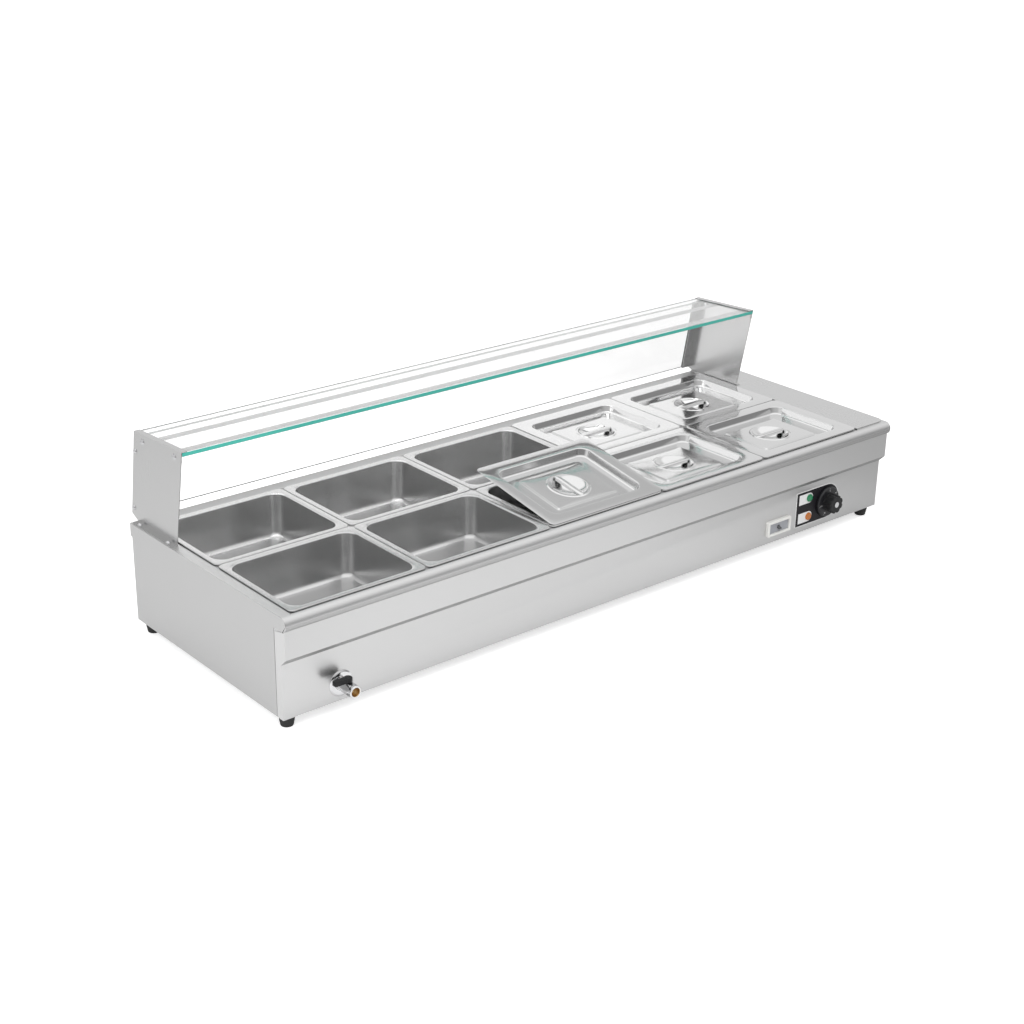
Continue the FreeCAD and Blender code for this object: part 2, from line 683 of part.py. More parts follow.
def make_fascia():
    """Thin D-shaped label plate with holes for the lamps and the shaft."""
    half = FASCIA_HEIGHT / 2
    y0 = LOWER_FACE - FASCIA_RISE
    plate = box(FASCIA_LEFT, KNOB_X, y0, LOWER_FACE, KNOB_Z - half, KNOB_Z + half)
    plate = plate.fuse(panel_cylinder(KNOB_X, KNOB_Z, half, y0, LOWER_FACE)).removeSplitter()
    holes = [panel_cylinder(KNOB_X, KNOB_Z, SHAFT_RADIUS + SHAFT_PANEL_GAP, y0 - PAST, LOWER_FACE + PAST)]
    for z in lamp_heights():
        holes.append(panel_cylinder(LAMP_X, z, LAMP_NECK_RADIUS + SEAM, y0 - PAST, LOWER_FACE + PAST))
    return plate.cut(Part.makeCompound(holes))


def make_lamp(z):
    """Pilot lamp: domed lens in front of the fascia and its neck behind the panel."""
    y0 = LOWER_FACE - FASCIA_RISE
    lens = panel_cylinder(LAMP_X, z, LAMP_RADIUS, y0 - LAMP_RISE, y0)
    lens = lens.makeFillet(LAMP_ROUND, edges_near(lens, y=y0 - LAMP_RISE, rings=True))
    return lens.fuse(panel_cylinder(LAMP_X, z, LAMP_NECK_RADIUS, y0, y0 + LAMP_NECK_LENGTH))


def knob_planes():
    """Return the y of the skirt's back, the skirt's front and the grip's front."""
    back = LOWER_FACE - FASCIA_RISE - KNOB_GAP
    front = back - SKIRT_THICKNESS
    return back, front, front - GRIP_LENGTH


def make_dial_skirt():
    """Bevelled disc that carries the scale."""
    back, front, _ = knob_planes()
    disc = panel_cylinder(KNOB_X, KNOB_Z, SKIRT_RADIUS, front, back)
    disc = disc.makeChamfer(SKIRT_CHAMFER, edges_near(disc, y=front, rings=True))
    return disc.cut(panel_cylinder(KNOB_X, KNOB_Z, SHAFT_RADIUS, front - PAST, back + PAST))


def make_knob_grip():
    """Fluted grip in front of the skirt."""
    _, back, front = knob_planes()
    grip = panel_cylinder(KNOB_X, KNOB_Z, GRIP_RADIUS, front, back)
    flutes = []
    for index in range(GRIP_LOBES):
        angle = 2 * math.pi * index / GRIP_LOBES
        x = KNOB_X + (GRIP_RADIUS + GRIP_LOBE_OFFSET) * math.cos(angle)
        z = KNOB_Z + (GRIP_RADIUS + GRIP_LOBE_OFFSET) * math.sin(angle)
        flutes.append(panel_cylinder(x, z, GRIP_LOBE_RADIUS, front - PAST, back - SKIRT_CHAMFER))
    grip = grip.cut(Part.makeCompound(flutes))
    return grip.cut(panel_cylinder(KNOB_X, KNOB_Z, SHAFT_RADIUS, back - SHAFT_REACH, back + PAST))


def make_knob_cap():
    """Bright button in the middle of the grip."""
    front = knob_planes()[2]
    cap = panel_cylinder(KNOB_X, KNOB_Z, CAP_RADIUS, front - CAP_THICKNESS, front)
    return cap.makeFillet(CAP_ROUND, edges_near(cap, y=front - CAP_THICKNESS, rings=True))


def thermostat_front():
    """Return the y of the thermostat's front face."""
    return LOWER_FACE + SHEET + SEAM


def make_thermostat_shaft():
    """Shaft that turns with the knob and runs into the thermostat."""
    return panel_cylinder(KNOB_X, KNOB_Z, SHAFT_RADIUS, knob_planes()[1] - SHAFT_REACH,
                          thermostat_front() + SHAFT_REACH)


def make_thermostat_body():
    """Switch block with a bore for the shaft."""
    half = THERMOSTAT_SIZE / 2
    y0 = thermostat_front()
    block = box(KNOB_X - half, KNOB_X + half, y0, y0 + THERMOSTAT_DEPTH, KNOB_Z - half, KNOB_Z + half)
    bore_end = y0 + SHAFT_REACH + SEAM
    bore = panel_cylinder(KNOB_X, KNOB_Z, SHAFT_RADIUS + SHAFT_CLEARANCE, y0 - PAST, bore_end)
    return block.cut(bore)


def make_capillary():
    """Thin sensing tube from the thermostat to a bulb under the tank floor."""
    y0 = thermostat_front() + THERMOSTAT_DEPTH
    bulb_z = TANK_FLOOR - TANK_SHEET - SEAM - BULB_RADIUS
    y1 = y0 + CAPILLARY_SETBACK
    rise = cylinder(vec(KNOB_X, y1, KNOB_Z), vec(0, 0, 1), CAPILLARY_RADIUS, bulb_z - KNOB_Z)
    lead = cylinder(vec(KNOB_X, y0, KNOB_Z), vec(0, 1, 0), CAPILLARY_RADIUS, y1 - y0)
    corner = Part.makeSphere(CAPILLARY_RADIUS, vec(KNOB_X, y1, KNOB_Z))
    bulb = cylinder(vec(KNOB_X, y1, bulb_z), vec(-1, 0, 0), BULB_RADIUS, BULB_LENGTH)
    return lead.fuse([corner, rise, bulb])


def make_terminal_block():
    """Block on the base tray where the mains leads end."""
    x1 = PANEL_SIDE_RIGHT - SHEET - SEAM - SHEET
    y1 = BACK - TERMINAL_FROM_BACK
    z0 = FOOT_HEIGHT + SHEET
    block = box(x1 - TERMINAL_LENGTH, x1 - SEAM, y1 - TERMINAL_WIDTH, y1, z0, z0 + TERMINAL_HEIGHT)
    screws = []
    for index in range(TERMINAL_WAYS):
        x = x1 - TERMINAL_LENGTH * (index + 1 / 2) / TERMINAL_WAYS
        screws.append(cylinder(vec(x, y1 - TERMINAL_WIDTH / 2, z0 + TERMINAL_HEIGHT / 2), vec(0, 0, 1),
                               TERMINAL_SCREW_RADIUS, TERMINAL_HEIGHT))
    return block.cut(Part.makeCompound(screws))


def make_cable_gland():
    """Screwed cable gland through the back panel, with its nut inside."""
    x = RIGHT - GLAND_FROM_RIGHT
    hex_front = PANEL_BACK + GLAND_HEX_LENGTH
    inner_end = PANEL_BACK - SHEET - GLAND_HEX_LENGTH
    nut_end = PANEL_BACK - SHEET - GLAND_NUT_LENGTH
    flange = hexagon(vec(x, PANEL_BACK, GLAND_Z), GLAND_RADIUS * 2, GLAND_HEX_LENGTH)
    cap = Part.makeCone(GLAND_RADIUS, GLAND_NECK_RADIUS, GLAND_REACH - GLAND_HEX_LENGTH,
                        vec(x, hex_front, GLAND_Z), vec(0, 1, 0))
    inner = panel_cylinder(x, GLAND_Z, GLAND_NECK_RADIUS, inner_end, PANEL_BACK)
    nut = hexagon(vec(x, nut_end, GLAND_Z), GLAND_RADIUS * 2, GLAND_NUT_LENGTH)
    bore = panel_cylinder(x, GLAND_Z, GLAND_BORE, inner_end - PAST, PANEL_BACK + GLAND_REACH + PAST)
    return flange.fuse([cap, inner, nut]).cut(bore)


def breaker_span(margin):
    """Return the x and z limits of the breaker, drawn in by margin."""
    half_x = BREAKER_WIDTH / 2 - margin
    half_z = BREAKER_HEIGHT / 2 - margin
    return BREAKER_X - half_x, BREAKER_X + half_x, BREAKER_Z - half_z, BREAKER_Z + half_z


def make_breaker_frame():
    """Raised plastic surround with a window."""
    x0, x1, z0, z1 = breaker_span(0)
    y0 = LOWER_FACE - BREAKER_RISE
    frame = box(x0, x1, y0, LOWER_FACE, z0, z1)
    outer_edges = edges_near(frame, y=y0) + edges_near(frame, y=LOWER_FACE - BREAKER_RISE / 2)
    frame = frame.makeFillet(BREAKER_ROUND, outer_edges)
    x0, x1, z0, z1 = breaker_span(BREAKER_FRAME)
    return frame.cut(box(x0, x1, y0 - PAST, LOWER_FACE + PAST, z0, z1))


def toggle_pivot_y():
    """Return the y of the toggle's pivot."""
    return LOWER_FACE - BREAKER_RISE + BREAKER_RECESS + TOGGLE_PIVOT_RADIUS


def make_breaker_body():
    """Switch block whose face lies back inside the frame, slotted for the toggle."""
    x0, x1, z0, z1 = breaker_span(BREAKER_FRAME + SEAM)
    y0 = LOWER_FACE - BREAKER_RISE + BREAKER_RECESS
    body = box(x0, x1, y0, LOWER_FACE + BREAKER_BEHIND, z0, z1)
    half = TOGGLE_WIDTH / 2 + TOGGLE_CLEARANCE
    reach = TOGGLE_PIVOT_RADIUS + TOGGLE_CLEARANCE
    pocket = cylinder(vec(BREAKER_X - half, toggle_pivot_y(), BREAKER_Z), vec(1, 0, 0), reach, half * 2)
    mouth = box(BREAKER_X - half, BREAKER_X + half, y0 - PAST, toggle_pivot_y(),
                BREAKER_Z - reach, BREAKER_Z + reach)
    return body.cut(pocket).cut(mouth)


def make_breaker_toggle():
    """Short lever on a round pivot, tipped down in its off position."""
    half = TOGGLE_WIDTH / 2
    y = toggle_pivot_y()
    barrel = cylinder(vec(BREAKER_X - half, y, BREAKER_Z), vec(1, 0, 0), TOGGLE_PIVOT_RADIUS, TOGGLE_WIDTH)
    stick = box(BREAKER_X - half, BREAKER_X + half, y - TOGGLE_PIVOT_RADIUS - TOGGLE_LENGTH, y,
                BREAKER_Z - TOGGLE_THICKNESS / 2, BREAKER_Z + TOGGLE_THICKNESS / 2)
    toggle = barrel.fuse(stick)
    toggle.rotate(vec(BREAKER_X, y, BREAKER_Z), vec(1, 0, 0), TOGGLE_REST)
    return toggle


# Drain

def ball_y():
    """Return the y of the valve ball's centre."""
    return LOWER_FACE - ESCUTCHEON_THICKNESS - BALL_OFFSET


def make_escutcheon():
    """Round cover plate behind the valve."""
    y0 = LOWER_FACE - ESCUTCHEON_THICKNESS
    disc = panel_cylinder(VALVE_X, VALVE_Z, ESCUTCHEON_RADIUS, y0, LOWER_FACE)
    disc = disc.makeFillet(ESCUTCHEON_ROUND, edges_near(disc, y=y0, rings=True))
    return disc.cut(panel_cylinder(VALVE_X, VALVE_Z, PIPE_RADIUS + SEAM, y0 - PAST, LOWER_FACE + PAST))


def make_valve_body():
    """Threaded tap body: neck, hexagon and flared mouth round a ball seat."""
    y_back = LOWER_FACE - ESCUTCHEON_THICKNESS
    y_mouth = LOWER_FACE - VALVE_REACH
    body = panel_cylinder(VALVE_X, VALVE_Z, VALVE_BODY_RADIUS, y_mouth, y_back)
    y_hex = y_back - HEX_START - HEX_LENGTH
    spanner_flats = hexagon(vec(VALVE_X, y_hex, VALVE_Z), HEX_ACROSS, HEX_LENGTH)
    mouth = panel_cylinder(VALVE_X, VALVE_Z, MOUTH_RADIUS, y_mouth, y_hex)
    mouth = mouth.makeChamfer(MOUTH_CHAMFER, edges_near(mouth, rings=True))
    body = body.fuse([spanner_flats, mouth])
    centre = vec(VALVE_X, ball_y(), VALVE_Z)
    hollows = [panel_cylinder(VALVE_X, VALVE_Z, VALVE_BORE, y_mouth - PAST, ball_y() - BALL_SEAT_REACH),
               panel_cylinder(VALVE_X, VALVE_Z, BALL_BORE, y_mouth - PAST, y_back + PAST),
               Part.makeSphere(BALL_RADIUS + BALL_GAP, centre),
               cylinder(centre, vec(0, 0, 1), STEM_RADIUS + STEM_CLEARANCE, CUT_REACH)]
    for hollow in hollows:
        body = body.cut(hollow)
    return body


def make_valve_ball():
    """Ball with its stem, shown shut: its bore lies across the pipe."""
    centre = vec(VALVE_X, ball_y(), VALVE_Z)
    ball = Part.makeSphere(BALL_RADIUS, centre)
    ball = ball.cut(cylinder(centre - vec(BALL_RADIUS, 0, 0), vec(1, 0, 0), BALL_BORE, BALL_RADIUS * 2))
    stem = cylinder(centre + vec(0, 0, STEM_ROOT), vec(0, 0, 1), STEM_RADIUS, STEM_RISE - STEM_ROOT)
    return ball.fuse(stem)


def make_valve_lever():
    """Plastic lever that points to the left while the valve is shut."""
    z0 = VALVE_Z + MOUTH_RADIUS + LEVER_GAP
    z1 = z0 + LEVER_THICKNESS
    hub = cylinder(vec(VALVE_X, ball_y(), z0), vec(0, 0, 1), LEVER_HUB_RADIUS, LEVER_THICKNESS)
    arm = rounded_block(VALVE_X - LEVER_LENGTH, VALVE_X, ball_y() - LEVER_WIDTH / 2,
                        ball_y() + LEVER_WIDTH / 2, LEVER_CORNER, z0, z1)
    lever = hub.fuse(arm)
    lever = lever.makeFillet(LEVER_ROUND, edges_near(lever, z=z1))
    socket = cylinder(vec(VALVE_X, ball_y(), VALVE_Z), vec(0, 0, 1), STEM_RADIUS, STEM_RISE)
    return lever.cut(socket)


def elbow_form(radius):
    """Return an elbow from the tank floor to the back of the valve."""
    corner = vec(VALVE_X, drain_y(), VALVE_Z)
    upright = cylinder(corner, vec(0, 0, 1), radius, TANK_FLOOR - TANK_SHEET - VALVE_Z)
    y_front = LOWER_FACE - ESCUTCHEON_THICKNESS
    level = panel_cylinder(VALVE_X, VALVE_Z, radius, y_front, drain_y())
    return upright.fuse([level, Part.makeSphere(radius, corner)])


def make_drain_elbow():
    """Pipe from the tank floor to the tap."""
    return elbow_form(PIPE_RADIUS).cut(elbow_form(PIPE_RADIUS - PIPE_WALL))


# Sneeze guard

class Edge:
    """A straight edge of the guard in the (y, z) plane, with distances along and below it."""

    def __init__(self, start, end, inward):
        """Start and end are (y, z) points; inward is +1 or -1 for the side that counts as below."""
        self.start = start
        self.length = math.hypot(end[0] - start[0], end[1] - start[1])
        self.along = ((end[0] - start[0]) / self.length, (end[1] - start[1]) / self.length)
        self.below = (-self.along[1] * inward, self.along[0] * inward)

    def point(self, distance, depth):
        """Return the (y, z) point at a distance along the edge and a depth below it."""
        return (self.start[0] + self.along[0] * distance + self.below[0] * depth,
                self.start[1] + self.along[1] * distance + self.below[1] * depth)

    def strip(self, s0, s1, d0, d1, x0, x1):
        """Return a plate along the edge from s0 to s1 and from depth d0 to d1, between two x values."""
        outline = [self.point(s0, d0), self.point(s1, d0), self.point(s1, d1), self.point(s0, d1)]
        return prism_along_x(outline, x0, x1)


TOP_EDGE = Edge((BACK - GUARD_TOP_BACK, TOP + GUARD_HEIGHT_BACK),
                (BACK - GUARD_TOP_FRONT, TOP + GUARD_HEIGHT_FRONT), 1)
REAR_EDGE = Edge((BACK + GUARD_REAR_OVERHANG, TOP + GUARD_REAR_LIFT),
                 (BACK - GUARD_TOP_BACK, TOP + GUARD_HEIGHT_BACK), 1)
GLASS_TOP = GUARD_SHEET + GLASS_SEAT
GLASS_BOTTOM = GLASS_TOP + TOP_GLASS_THICKNESS
BRACKET_TOP = GLASS_BOTTOM + GLASS_SEAT
CHANNEL_BACK = REAR_GLASS_SETBACK - GLASS_SEAT - CHANNEL_SHEET
CHANNEL_FRONT = REAR_GLASS_SETBACK + REAR_GLASS_THICKNESS + GLASS_SEAT + CHANNEL_SHEET


def inner_face(side):
    """Return the x of a guard panel's inner face, side -1 for left and 1 for right."""
    return GUARD_LEFT + GUARD_SHEET if side < 0 else GUARD_RIGHT - GUARD_SHEET


def outer_face(side):
    """Return the x of a guard panel's outer face."""
    return GUARD_LEFT if side < 0 else GUARD_RIGHT


def foot_level(side):
    """Return the z that a guard panel stands on: the top plate, or the deck cover."""
    return TOP if side < 0 else DECK_TOP


def span(side, near, far):
    """Return sorted x values at two distances inboard of a panel's inner face."""
    values = sorted((inner_face(side) - side * near, inner_face(side) - side * far))
    return values[0], values[1]


def top_bolt_places(side):
    """Return the head centres of the two bolts that carry the top glass bracket."""
    places = []
    for distance in (TOP_BOLT_INSET, TOP_EDGE.length - TOP_BOLT_INSET):
        y, z = TOP_EDGE.point(distance, BRACKET_TOP + BRACKET_LEG / 2)
        places.append(vec(outer_face(side), y, z))
    return places


def rear_rivet_places(side):
    """Return the head centres of the two rivets that carry the rear glass channel."""
    places = []
    for distance in (REAR_RIVET_FROM_FOOT, REAR_EDGE.length - REAR_RIVET_FROM_TOP):
        y, z = REAR_EDGE.point(distance, (CHANNEL_BACK + CHANNEL_FRONT) / 2)
        places.append(vec(outer_face(side), y, z))
    return places


def foot_screw_places(side):
    """Return the head centres of the two screws through a panel's foot."""
    x = outer_face(side) + side * GUARD_FOOT_WIDTH / 2
    places = []
    for distance in (GUARD_FOOT_BACK + FOOT_SCREW_INSET, GUARD_FOOT_FRONT - FOOT_SCREW_INSET):
        places.append(vec(x, BACK - distance, foot_level(side) + GUARD_SHEET))
    return places


def turned(shape, outward, place):
    """Turn a shape from +Z to the outward direction and move it to a place."""
    shape.Placement = FreeCAD.Placement(place, FreeCAD.Rotation(vec(0, 0, 1), outward))
    return shape


class Fastener:
    """A domed bolt or rivet: its head, shank and nut sizes."""

    def __init__(self, dome_radius, shank_radius, nut_radius):
        """Keep the three radii; the nut's radius reaches its corners."""
        self.dome_radius = dome_radius
        self.shank_radius = shank_radius
        self.nut_radius = nut_radius

    def solids(self, place, outward, grip):
        """Return the bolt and its nut: the head stands outside, the shank runs in through the grip."""
        radius = self.dome_radius
        ball = cap_sphere_radius(radius, DOME_RISE)
        sphere = Part.makeSphere(ball, vec(0, 0, DOME_RISE - ball))
        dome = sphere.common(box(-radius, radius, -radius, radius, 0, DOME_RISE))
        length = grip + NUT_THICKNESS + SHEET
        shank = Part.makeCylinder(self.shank_radius, length, vec(0, 0, -length))
        nut = hexagon(vec(0, 0, 0), self.nut_radius * 2 * math.cos(math.pi / 6), NUT_THICKNESS)
        nut.rotate(vec(0, 0, 0), vec(1, 0, 0), -90)
        nut.translate(vec(0, 0, -grip))
        nut = nut.cut(shank)
        return [turned(dome.fuse(shank), outward, place), turned(nut, outward, place)]

    def holes(self, places, outward):
        """Return cutters for the shanks at the given places."""
        cutters = []
        for place in places:
            cutter = Part.makeCylinder(self.shank_radius + SEAM, CUT_REACH, vec(0, 0, -CUT_REACH / 2))
            cutters.append(turned(cutter, outward, place))
        return Part.makeCompound(cutters)


BRACKET_BOLT = Fastener(BIG_DOME_RADIUS, BIG_BOLT_RADIUS, BIG_NUT_RADIUS)
CHANNEL_RIVET = Fastener(RIVET_DOME_RADIUS, RIVET_RADIUS, RIVET_TAIL_RADIUS)
FOOT_SCREW = Fastener(FOOT_BOLT_DOME_RADIUS, BIG_BOLT_RADIUS, BIG_NUT_RADIUS)


def make_guard_panel(side):
    """Leaning end panel with an outward foot and an inward flange over the glass."""
    foot_z = foot_level(side)
    outline = [(BACK - GUARD_FOOT_FRONT, foot_z), (BACK - GUARD_FOOT_BACK, foot_z),
               (BACK + GUARD_REAR_OVERHANG, TOP + GUARD_REAR_LIFT),
               (BACK - GUARD_TOP_BACK, TOP + GUARD_HEIGHT_BACK),
               (BACK - GUARD_TOP_FRONT, TOP + GUARD_HEIGHT_FRONT)]
    x0, x1 = sorted((outer_face(side), inner_face(side)))
    panel = prism_along_x(outline, x0, x1)
    foot_x = sorted((outer_face(side), outer_face(side) + side * GUARD_FOOT_WIDTH))
    foot = box(foot_x[0], foot_x[1], BACK - GUARD_FOOT_FRONT, BACK - GUARD_FOOT_BACK,
               foot_z, foot_z + GUARD_SHEET)
    corners = edges_near(foot, x=outer_face(side) + side * GUARD_FOOT_WIDTH, z=foot_z + GUARD_SHEET / 2)
    foot = foot.makeChamfer(GUARD_FOOT_CHAMFER, corners)
    near, far = span(side, 0, GUARD_TOP_FLANGE)
    flange = TOP_EDGE.strip(0, TOP_EDGE.length, 0, GUARD_SHEET, near, far)
    panel = panel.fuse([foot, flange])
    panel = panel.cut(BRACKET_BOLT.holes(top_bolt_places(side), vec(side, 0, 0)))
    panel = panel.cut(CHANNEL_RIVET.holes(rear_rivet_places(side), vec(side, 0, 0)))
    return panel.cut(FOOT_SCREW.holes(foot_screw_places(side), vec(0, 0, 1)))


def make_top_glass():
    """Flat pane under the two top flanges."""
    return TOP_EDGE.strip(0, TOP_EDGE.length, GLASS_TOP, GLASS_BOTTOM,
                          inner_face(-1) + GLASS_SIDE_GAP, inner_face(1) - GLASS_SIDE_GAP)


def make_rear_glass():
    """Leaning back pane that stands in the two channels."""
    inset = CHANNEL_SHEET + NUT_THICKNESS + SHEET + GLASS_SIDE_GAP
    top = REAR_EDGE.length - REAR_GLASS_DROP
    return REAR_EDGE.strip(REAR_GLASS_BOTTOM - GUARD_REAR_LIFT, top, REAR_GLASS_SETBACK,
                           REAR_GLASS_SETBACK + REAR_GLASS_THICKNESS,
                           inner_face(-1) + inset, inner_face(1) - inset)


def make_glass_channel(side):
    """Channel on the inside of a panel's rear edge, closed at its foot to carry the rear glass."""
    top = REAR_EDGE.length - REAR_GLASS_DROP
    near, far = span(side, 0, CHANNEL_LIP)
    outer = REAR_EDGE.strip(0, top, CHANNEL_BACK, CHANNEL_FRONT, near, far)
    near, far = span(side, CHANNEL_SHEET, CHANNEL_LIP + PAST)
    slot = REAR_EDGE.strip(REAR_GLASS_BOTTOM - GUARD_REAR_LIFT - GLASS_SEAT, top + PAST,
                           CHANNEL_BACK + CHANNEL_SHEET, CHANNEL_FRONT - CHANNEL_SHEET, near, far)
    return outer.cut(slot).cut(CHANNEL_RIVET.holes(rear_rivet_places(side), vec(side, 0, 0)))


def make_glass_bracket(side):
    """Angle under the end of the top glass."""
    start = BRACKET_FROM_BACK
    end = TOP_EDGE.length - BRACKET_FROM_FRONT
    near, far = span(side, 0, BRACKET_LEG)
    ledge = TOP_EDGE.strip(start, end, BRACKET_TOP, BRACKET_TOP + BRACKET_SHEET, near, far)
    near, far = span(side, 0, BRACKET_SHEET)
    leg = TOP_EDGE.strip(start, end, BRACKET_TOP, BRACKET_TOP + BRACKET_LEG, near, far)
    return ledge.fuse(leg).cut(BRACKET_BOLT.holes(top_bolt_places(side), vec(side, 0, 0)))


def make_guard_bolts():
    """All bolts and nuts of the guard's end panels."""
    solids = []
    for side in (-1, 1):
        outward = vec(side, 0, 0)
        for place in top_bolt_places(side):
            solids += BRACKET_BOLT.solids(place, outward, GUARD_SHEET + BRACKET_SHEET)
        for place in rear_rivet_places(side):
            solids += CHANNEL_RIVET.solids(place, outward, GUARD_SHEET + CHANNEL_SHEET)
    return solids


def make_foot_screws():
    """Screws and nuts that hold the guard's feet to the cover."""
    solids = []
    for side in (-1, 1):
        grip = foot_level(side) + GUARD_SHEET - TANK_TOP
        for place in foot_screw_places(side):
            solids += FOOT_SCREW.solids(place, vec(0, 0, 1), grip)
    return solids


def with_foot_holes(plate):
    """Cut the guard's screw holes through a cover plate."""
    for side in (-1, 1):
        plate = plate.cut(FOOT_SCREW.holes(foot_screw_places(side), vec(0, 0, 1)))
    return plate


# Assembly

LIDDED_COLUMNS = (3, 4)
LOOSE_LID_COLUMN = 2


def export_casing():
    """Write the casing, the well and the feet."""
    export([with_foot_holes(make_top_plate())], "top_plate")
    export([with_foot_holes(make_deck_cover())], "deck_cover")
    export([make_front_panel()], "front_panel")
    export([make_side_panel(PANEL_SIDE_LEFT)], "left_side_panel")
    export([make_side_panel(PANEL_SIDE_RIGHT - SHEET)], "right_side_panel")
    export([make_back_panel()], "back_panel")
    export([make_base_tray()], "base_tray")
    export(make_feet(), "rubber_feet")
    export([make_water_tank()], "water_tank")
    export([make_centre_bar()], "centre_bar")
    export(make_cross_bars(), "cross_bars")
    export([make_insulation()], "insulation_blanket")
    export([make_heating_element()], "heating_element")


def export_controls():
    """Write the control panel, the breaker and the electrical parts."""
    export([make_fascia()], "control_fascia")
    lower, upper = lamp_heights()
    export([make_lamp(upper)], "power_lamp")
    export([make_lamp(lower)], "heat_lamp")
    export([make_dial_skirt()], "dial_skirt")
    export([make_knob_grip()], "knob_grip")
    export([make_knob_cap()], "knob_cap")
    export([make_thermostat_shaft()], "thermostat_shaft")
    export([make_thermostat_body()], "thermostat_body")
    export([make_capillary()], "thermostat_capillary")
    export([make_terminal_block()], "terminal_block")
    export([make_cable_gland()], "cable_gland")
    export([make_breaker_frame()], "breaker_frame")
    export([make_breaker_body()], "breaker_body")
    export([make_breaker_toggle()], "breaker_toggle")


def export_drain():
    """Write the drain pipe and its tap."""
    export([make_escutcheon()], "valve_escutcheon")
    export([make_valve_body()], "valve_body")
    export([make_valve_ball()], "valve_ball")
    export([make_valve_lever()], "valve_lever")
    export([make_drain_elbow()], "drain_elbow")


def export_guard():
    """Write the sneeze guard."""
    for side, name in ((-1, "left"), (1, "right")):
        export([make_guard_panel(side)], "guard_panel_" + name)
    export([make_glass_channel(-1), make_glass_channel(1)], "glass_channels")
    export([make_glass_bracket(-1), make_glass_bracket(1)], "glass_brackets")
    export([make_top_glass()], "top_glass")
    export([make_rear_glass()], "rear_glass")
    export(make_guard_bolts(), "guard_bolts")
    export(make_foot_screws(), "guard_foot_screws")


def export_pans():
    """Write the ten pans and the five lids with their handles."""
    for row, row_name in enumerate(("front", "rear")):
        for column in range(COLUMNS):
            label = row_name + "_" + str(column + 1)
            export([make_pan(column, row)], "pan_" + label)
            x0, y0 = pan_corner(column, row)
            if column in LIDDED_COLUMNS:
                export([make_lid(x0, y0)], "lid_" + label)
                export([make_lid_handle(x0, y0, True)], "lid_handle_" + label)
            elif column == LOOSE_LID_COLUMN and row == 0:
                export([place_loose(make_lid(x0, y0), x0, y0)], "lid_" + label)
                export([place_loose(make_lid_handle(x0, y0, False), x0, y0)], "lid_handle_" + label)


export_casing()
export_controls()
export_drain()
export_guard()
export_pans()
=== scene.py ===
"""Looks of a countertop bain-marie: a heated stainless casing with ten pans, five lids and a glass guard.

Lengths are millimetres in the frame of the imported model, and metres once they are in a mesh.
"""

import logging
import math
from collections.abc import Callable, Iterator
from contextlib import contextmanager
from dataclasses import dataclass
from enum import Enum

import bmesh
import bpy
import numpy as np
from mathutils import Matrix, Vector


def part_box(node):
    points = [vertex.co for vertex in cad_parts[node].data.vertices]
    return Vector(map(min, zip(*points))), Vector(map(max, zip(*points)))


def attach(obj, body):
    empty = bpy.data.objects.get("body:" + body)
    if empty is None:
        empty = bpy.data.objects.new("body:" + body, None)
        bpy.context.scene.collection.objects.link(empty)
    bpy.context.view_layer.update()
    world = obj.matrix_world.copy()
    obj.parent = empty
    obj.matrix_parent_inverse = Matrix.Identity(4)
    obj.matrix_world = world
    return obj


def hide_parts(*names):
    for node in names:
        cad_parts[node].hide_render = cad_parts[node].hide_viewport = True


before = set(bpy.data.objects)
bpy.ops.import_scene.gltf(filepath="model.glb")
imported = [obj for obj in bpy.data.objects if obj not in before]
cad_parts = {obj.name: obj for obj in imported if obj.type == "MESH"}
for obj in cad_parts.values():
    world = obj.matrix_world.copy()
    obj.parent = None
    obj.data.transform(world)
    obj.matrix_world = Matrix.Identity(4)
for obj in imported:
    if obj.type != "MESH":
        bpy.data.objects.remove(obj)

Array = np.ndarray
Pair = tuple[float, float]
Triple = tuple[float, float, float]
Socket = bpy.types.NodeSocket
LOG = logging.getLogger("bain_marie")

MM = 0.001
WHITE = (1.0, 1.0, 1.0, 1.0)
WALL_SHARE = 0.95  # a wall's share of the sheet, which keeps it inside the CAD's
MERGE_REACH = 1e-6


@dataclass(frozen=True)
class Box:
    """Box of a CAD node at rest, in millimetres."""

    low: Array
    high: Array

    @property
    def size(self) -> Array:
        """Its width, depth and height."""
        return self.high - self.low

    @property
    def half(self) -> Array:
        """Half of its width, depth and height."""
        return self.size / 2

    @property
    def middle(self) -> Array:
        """Its centre."""
        return (self.low + self.high) / 2

    @property
    def back(self) -> Triple:
        """The middle of its back face."""
        return self.middle[0], self.high[1], self.middle[2]


def box_mm(node: str) -> Box:
    """Return the box of a CAD node."""
    low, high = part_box(node)
    return Box(np.array(low) / MM, np.array(high) / MM)


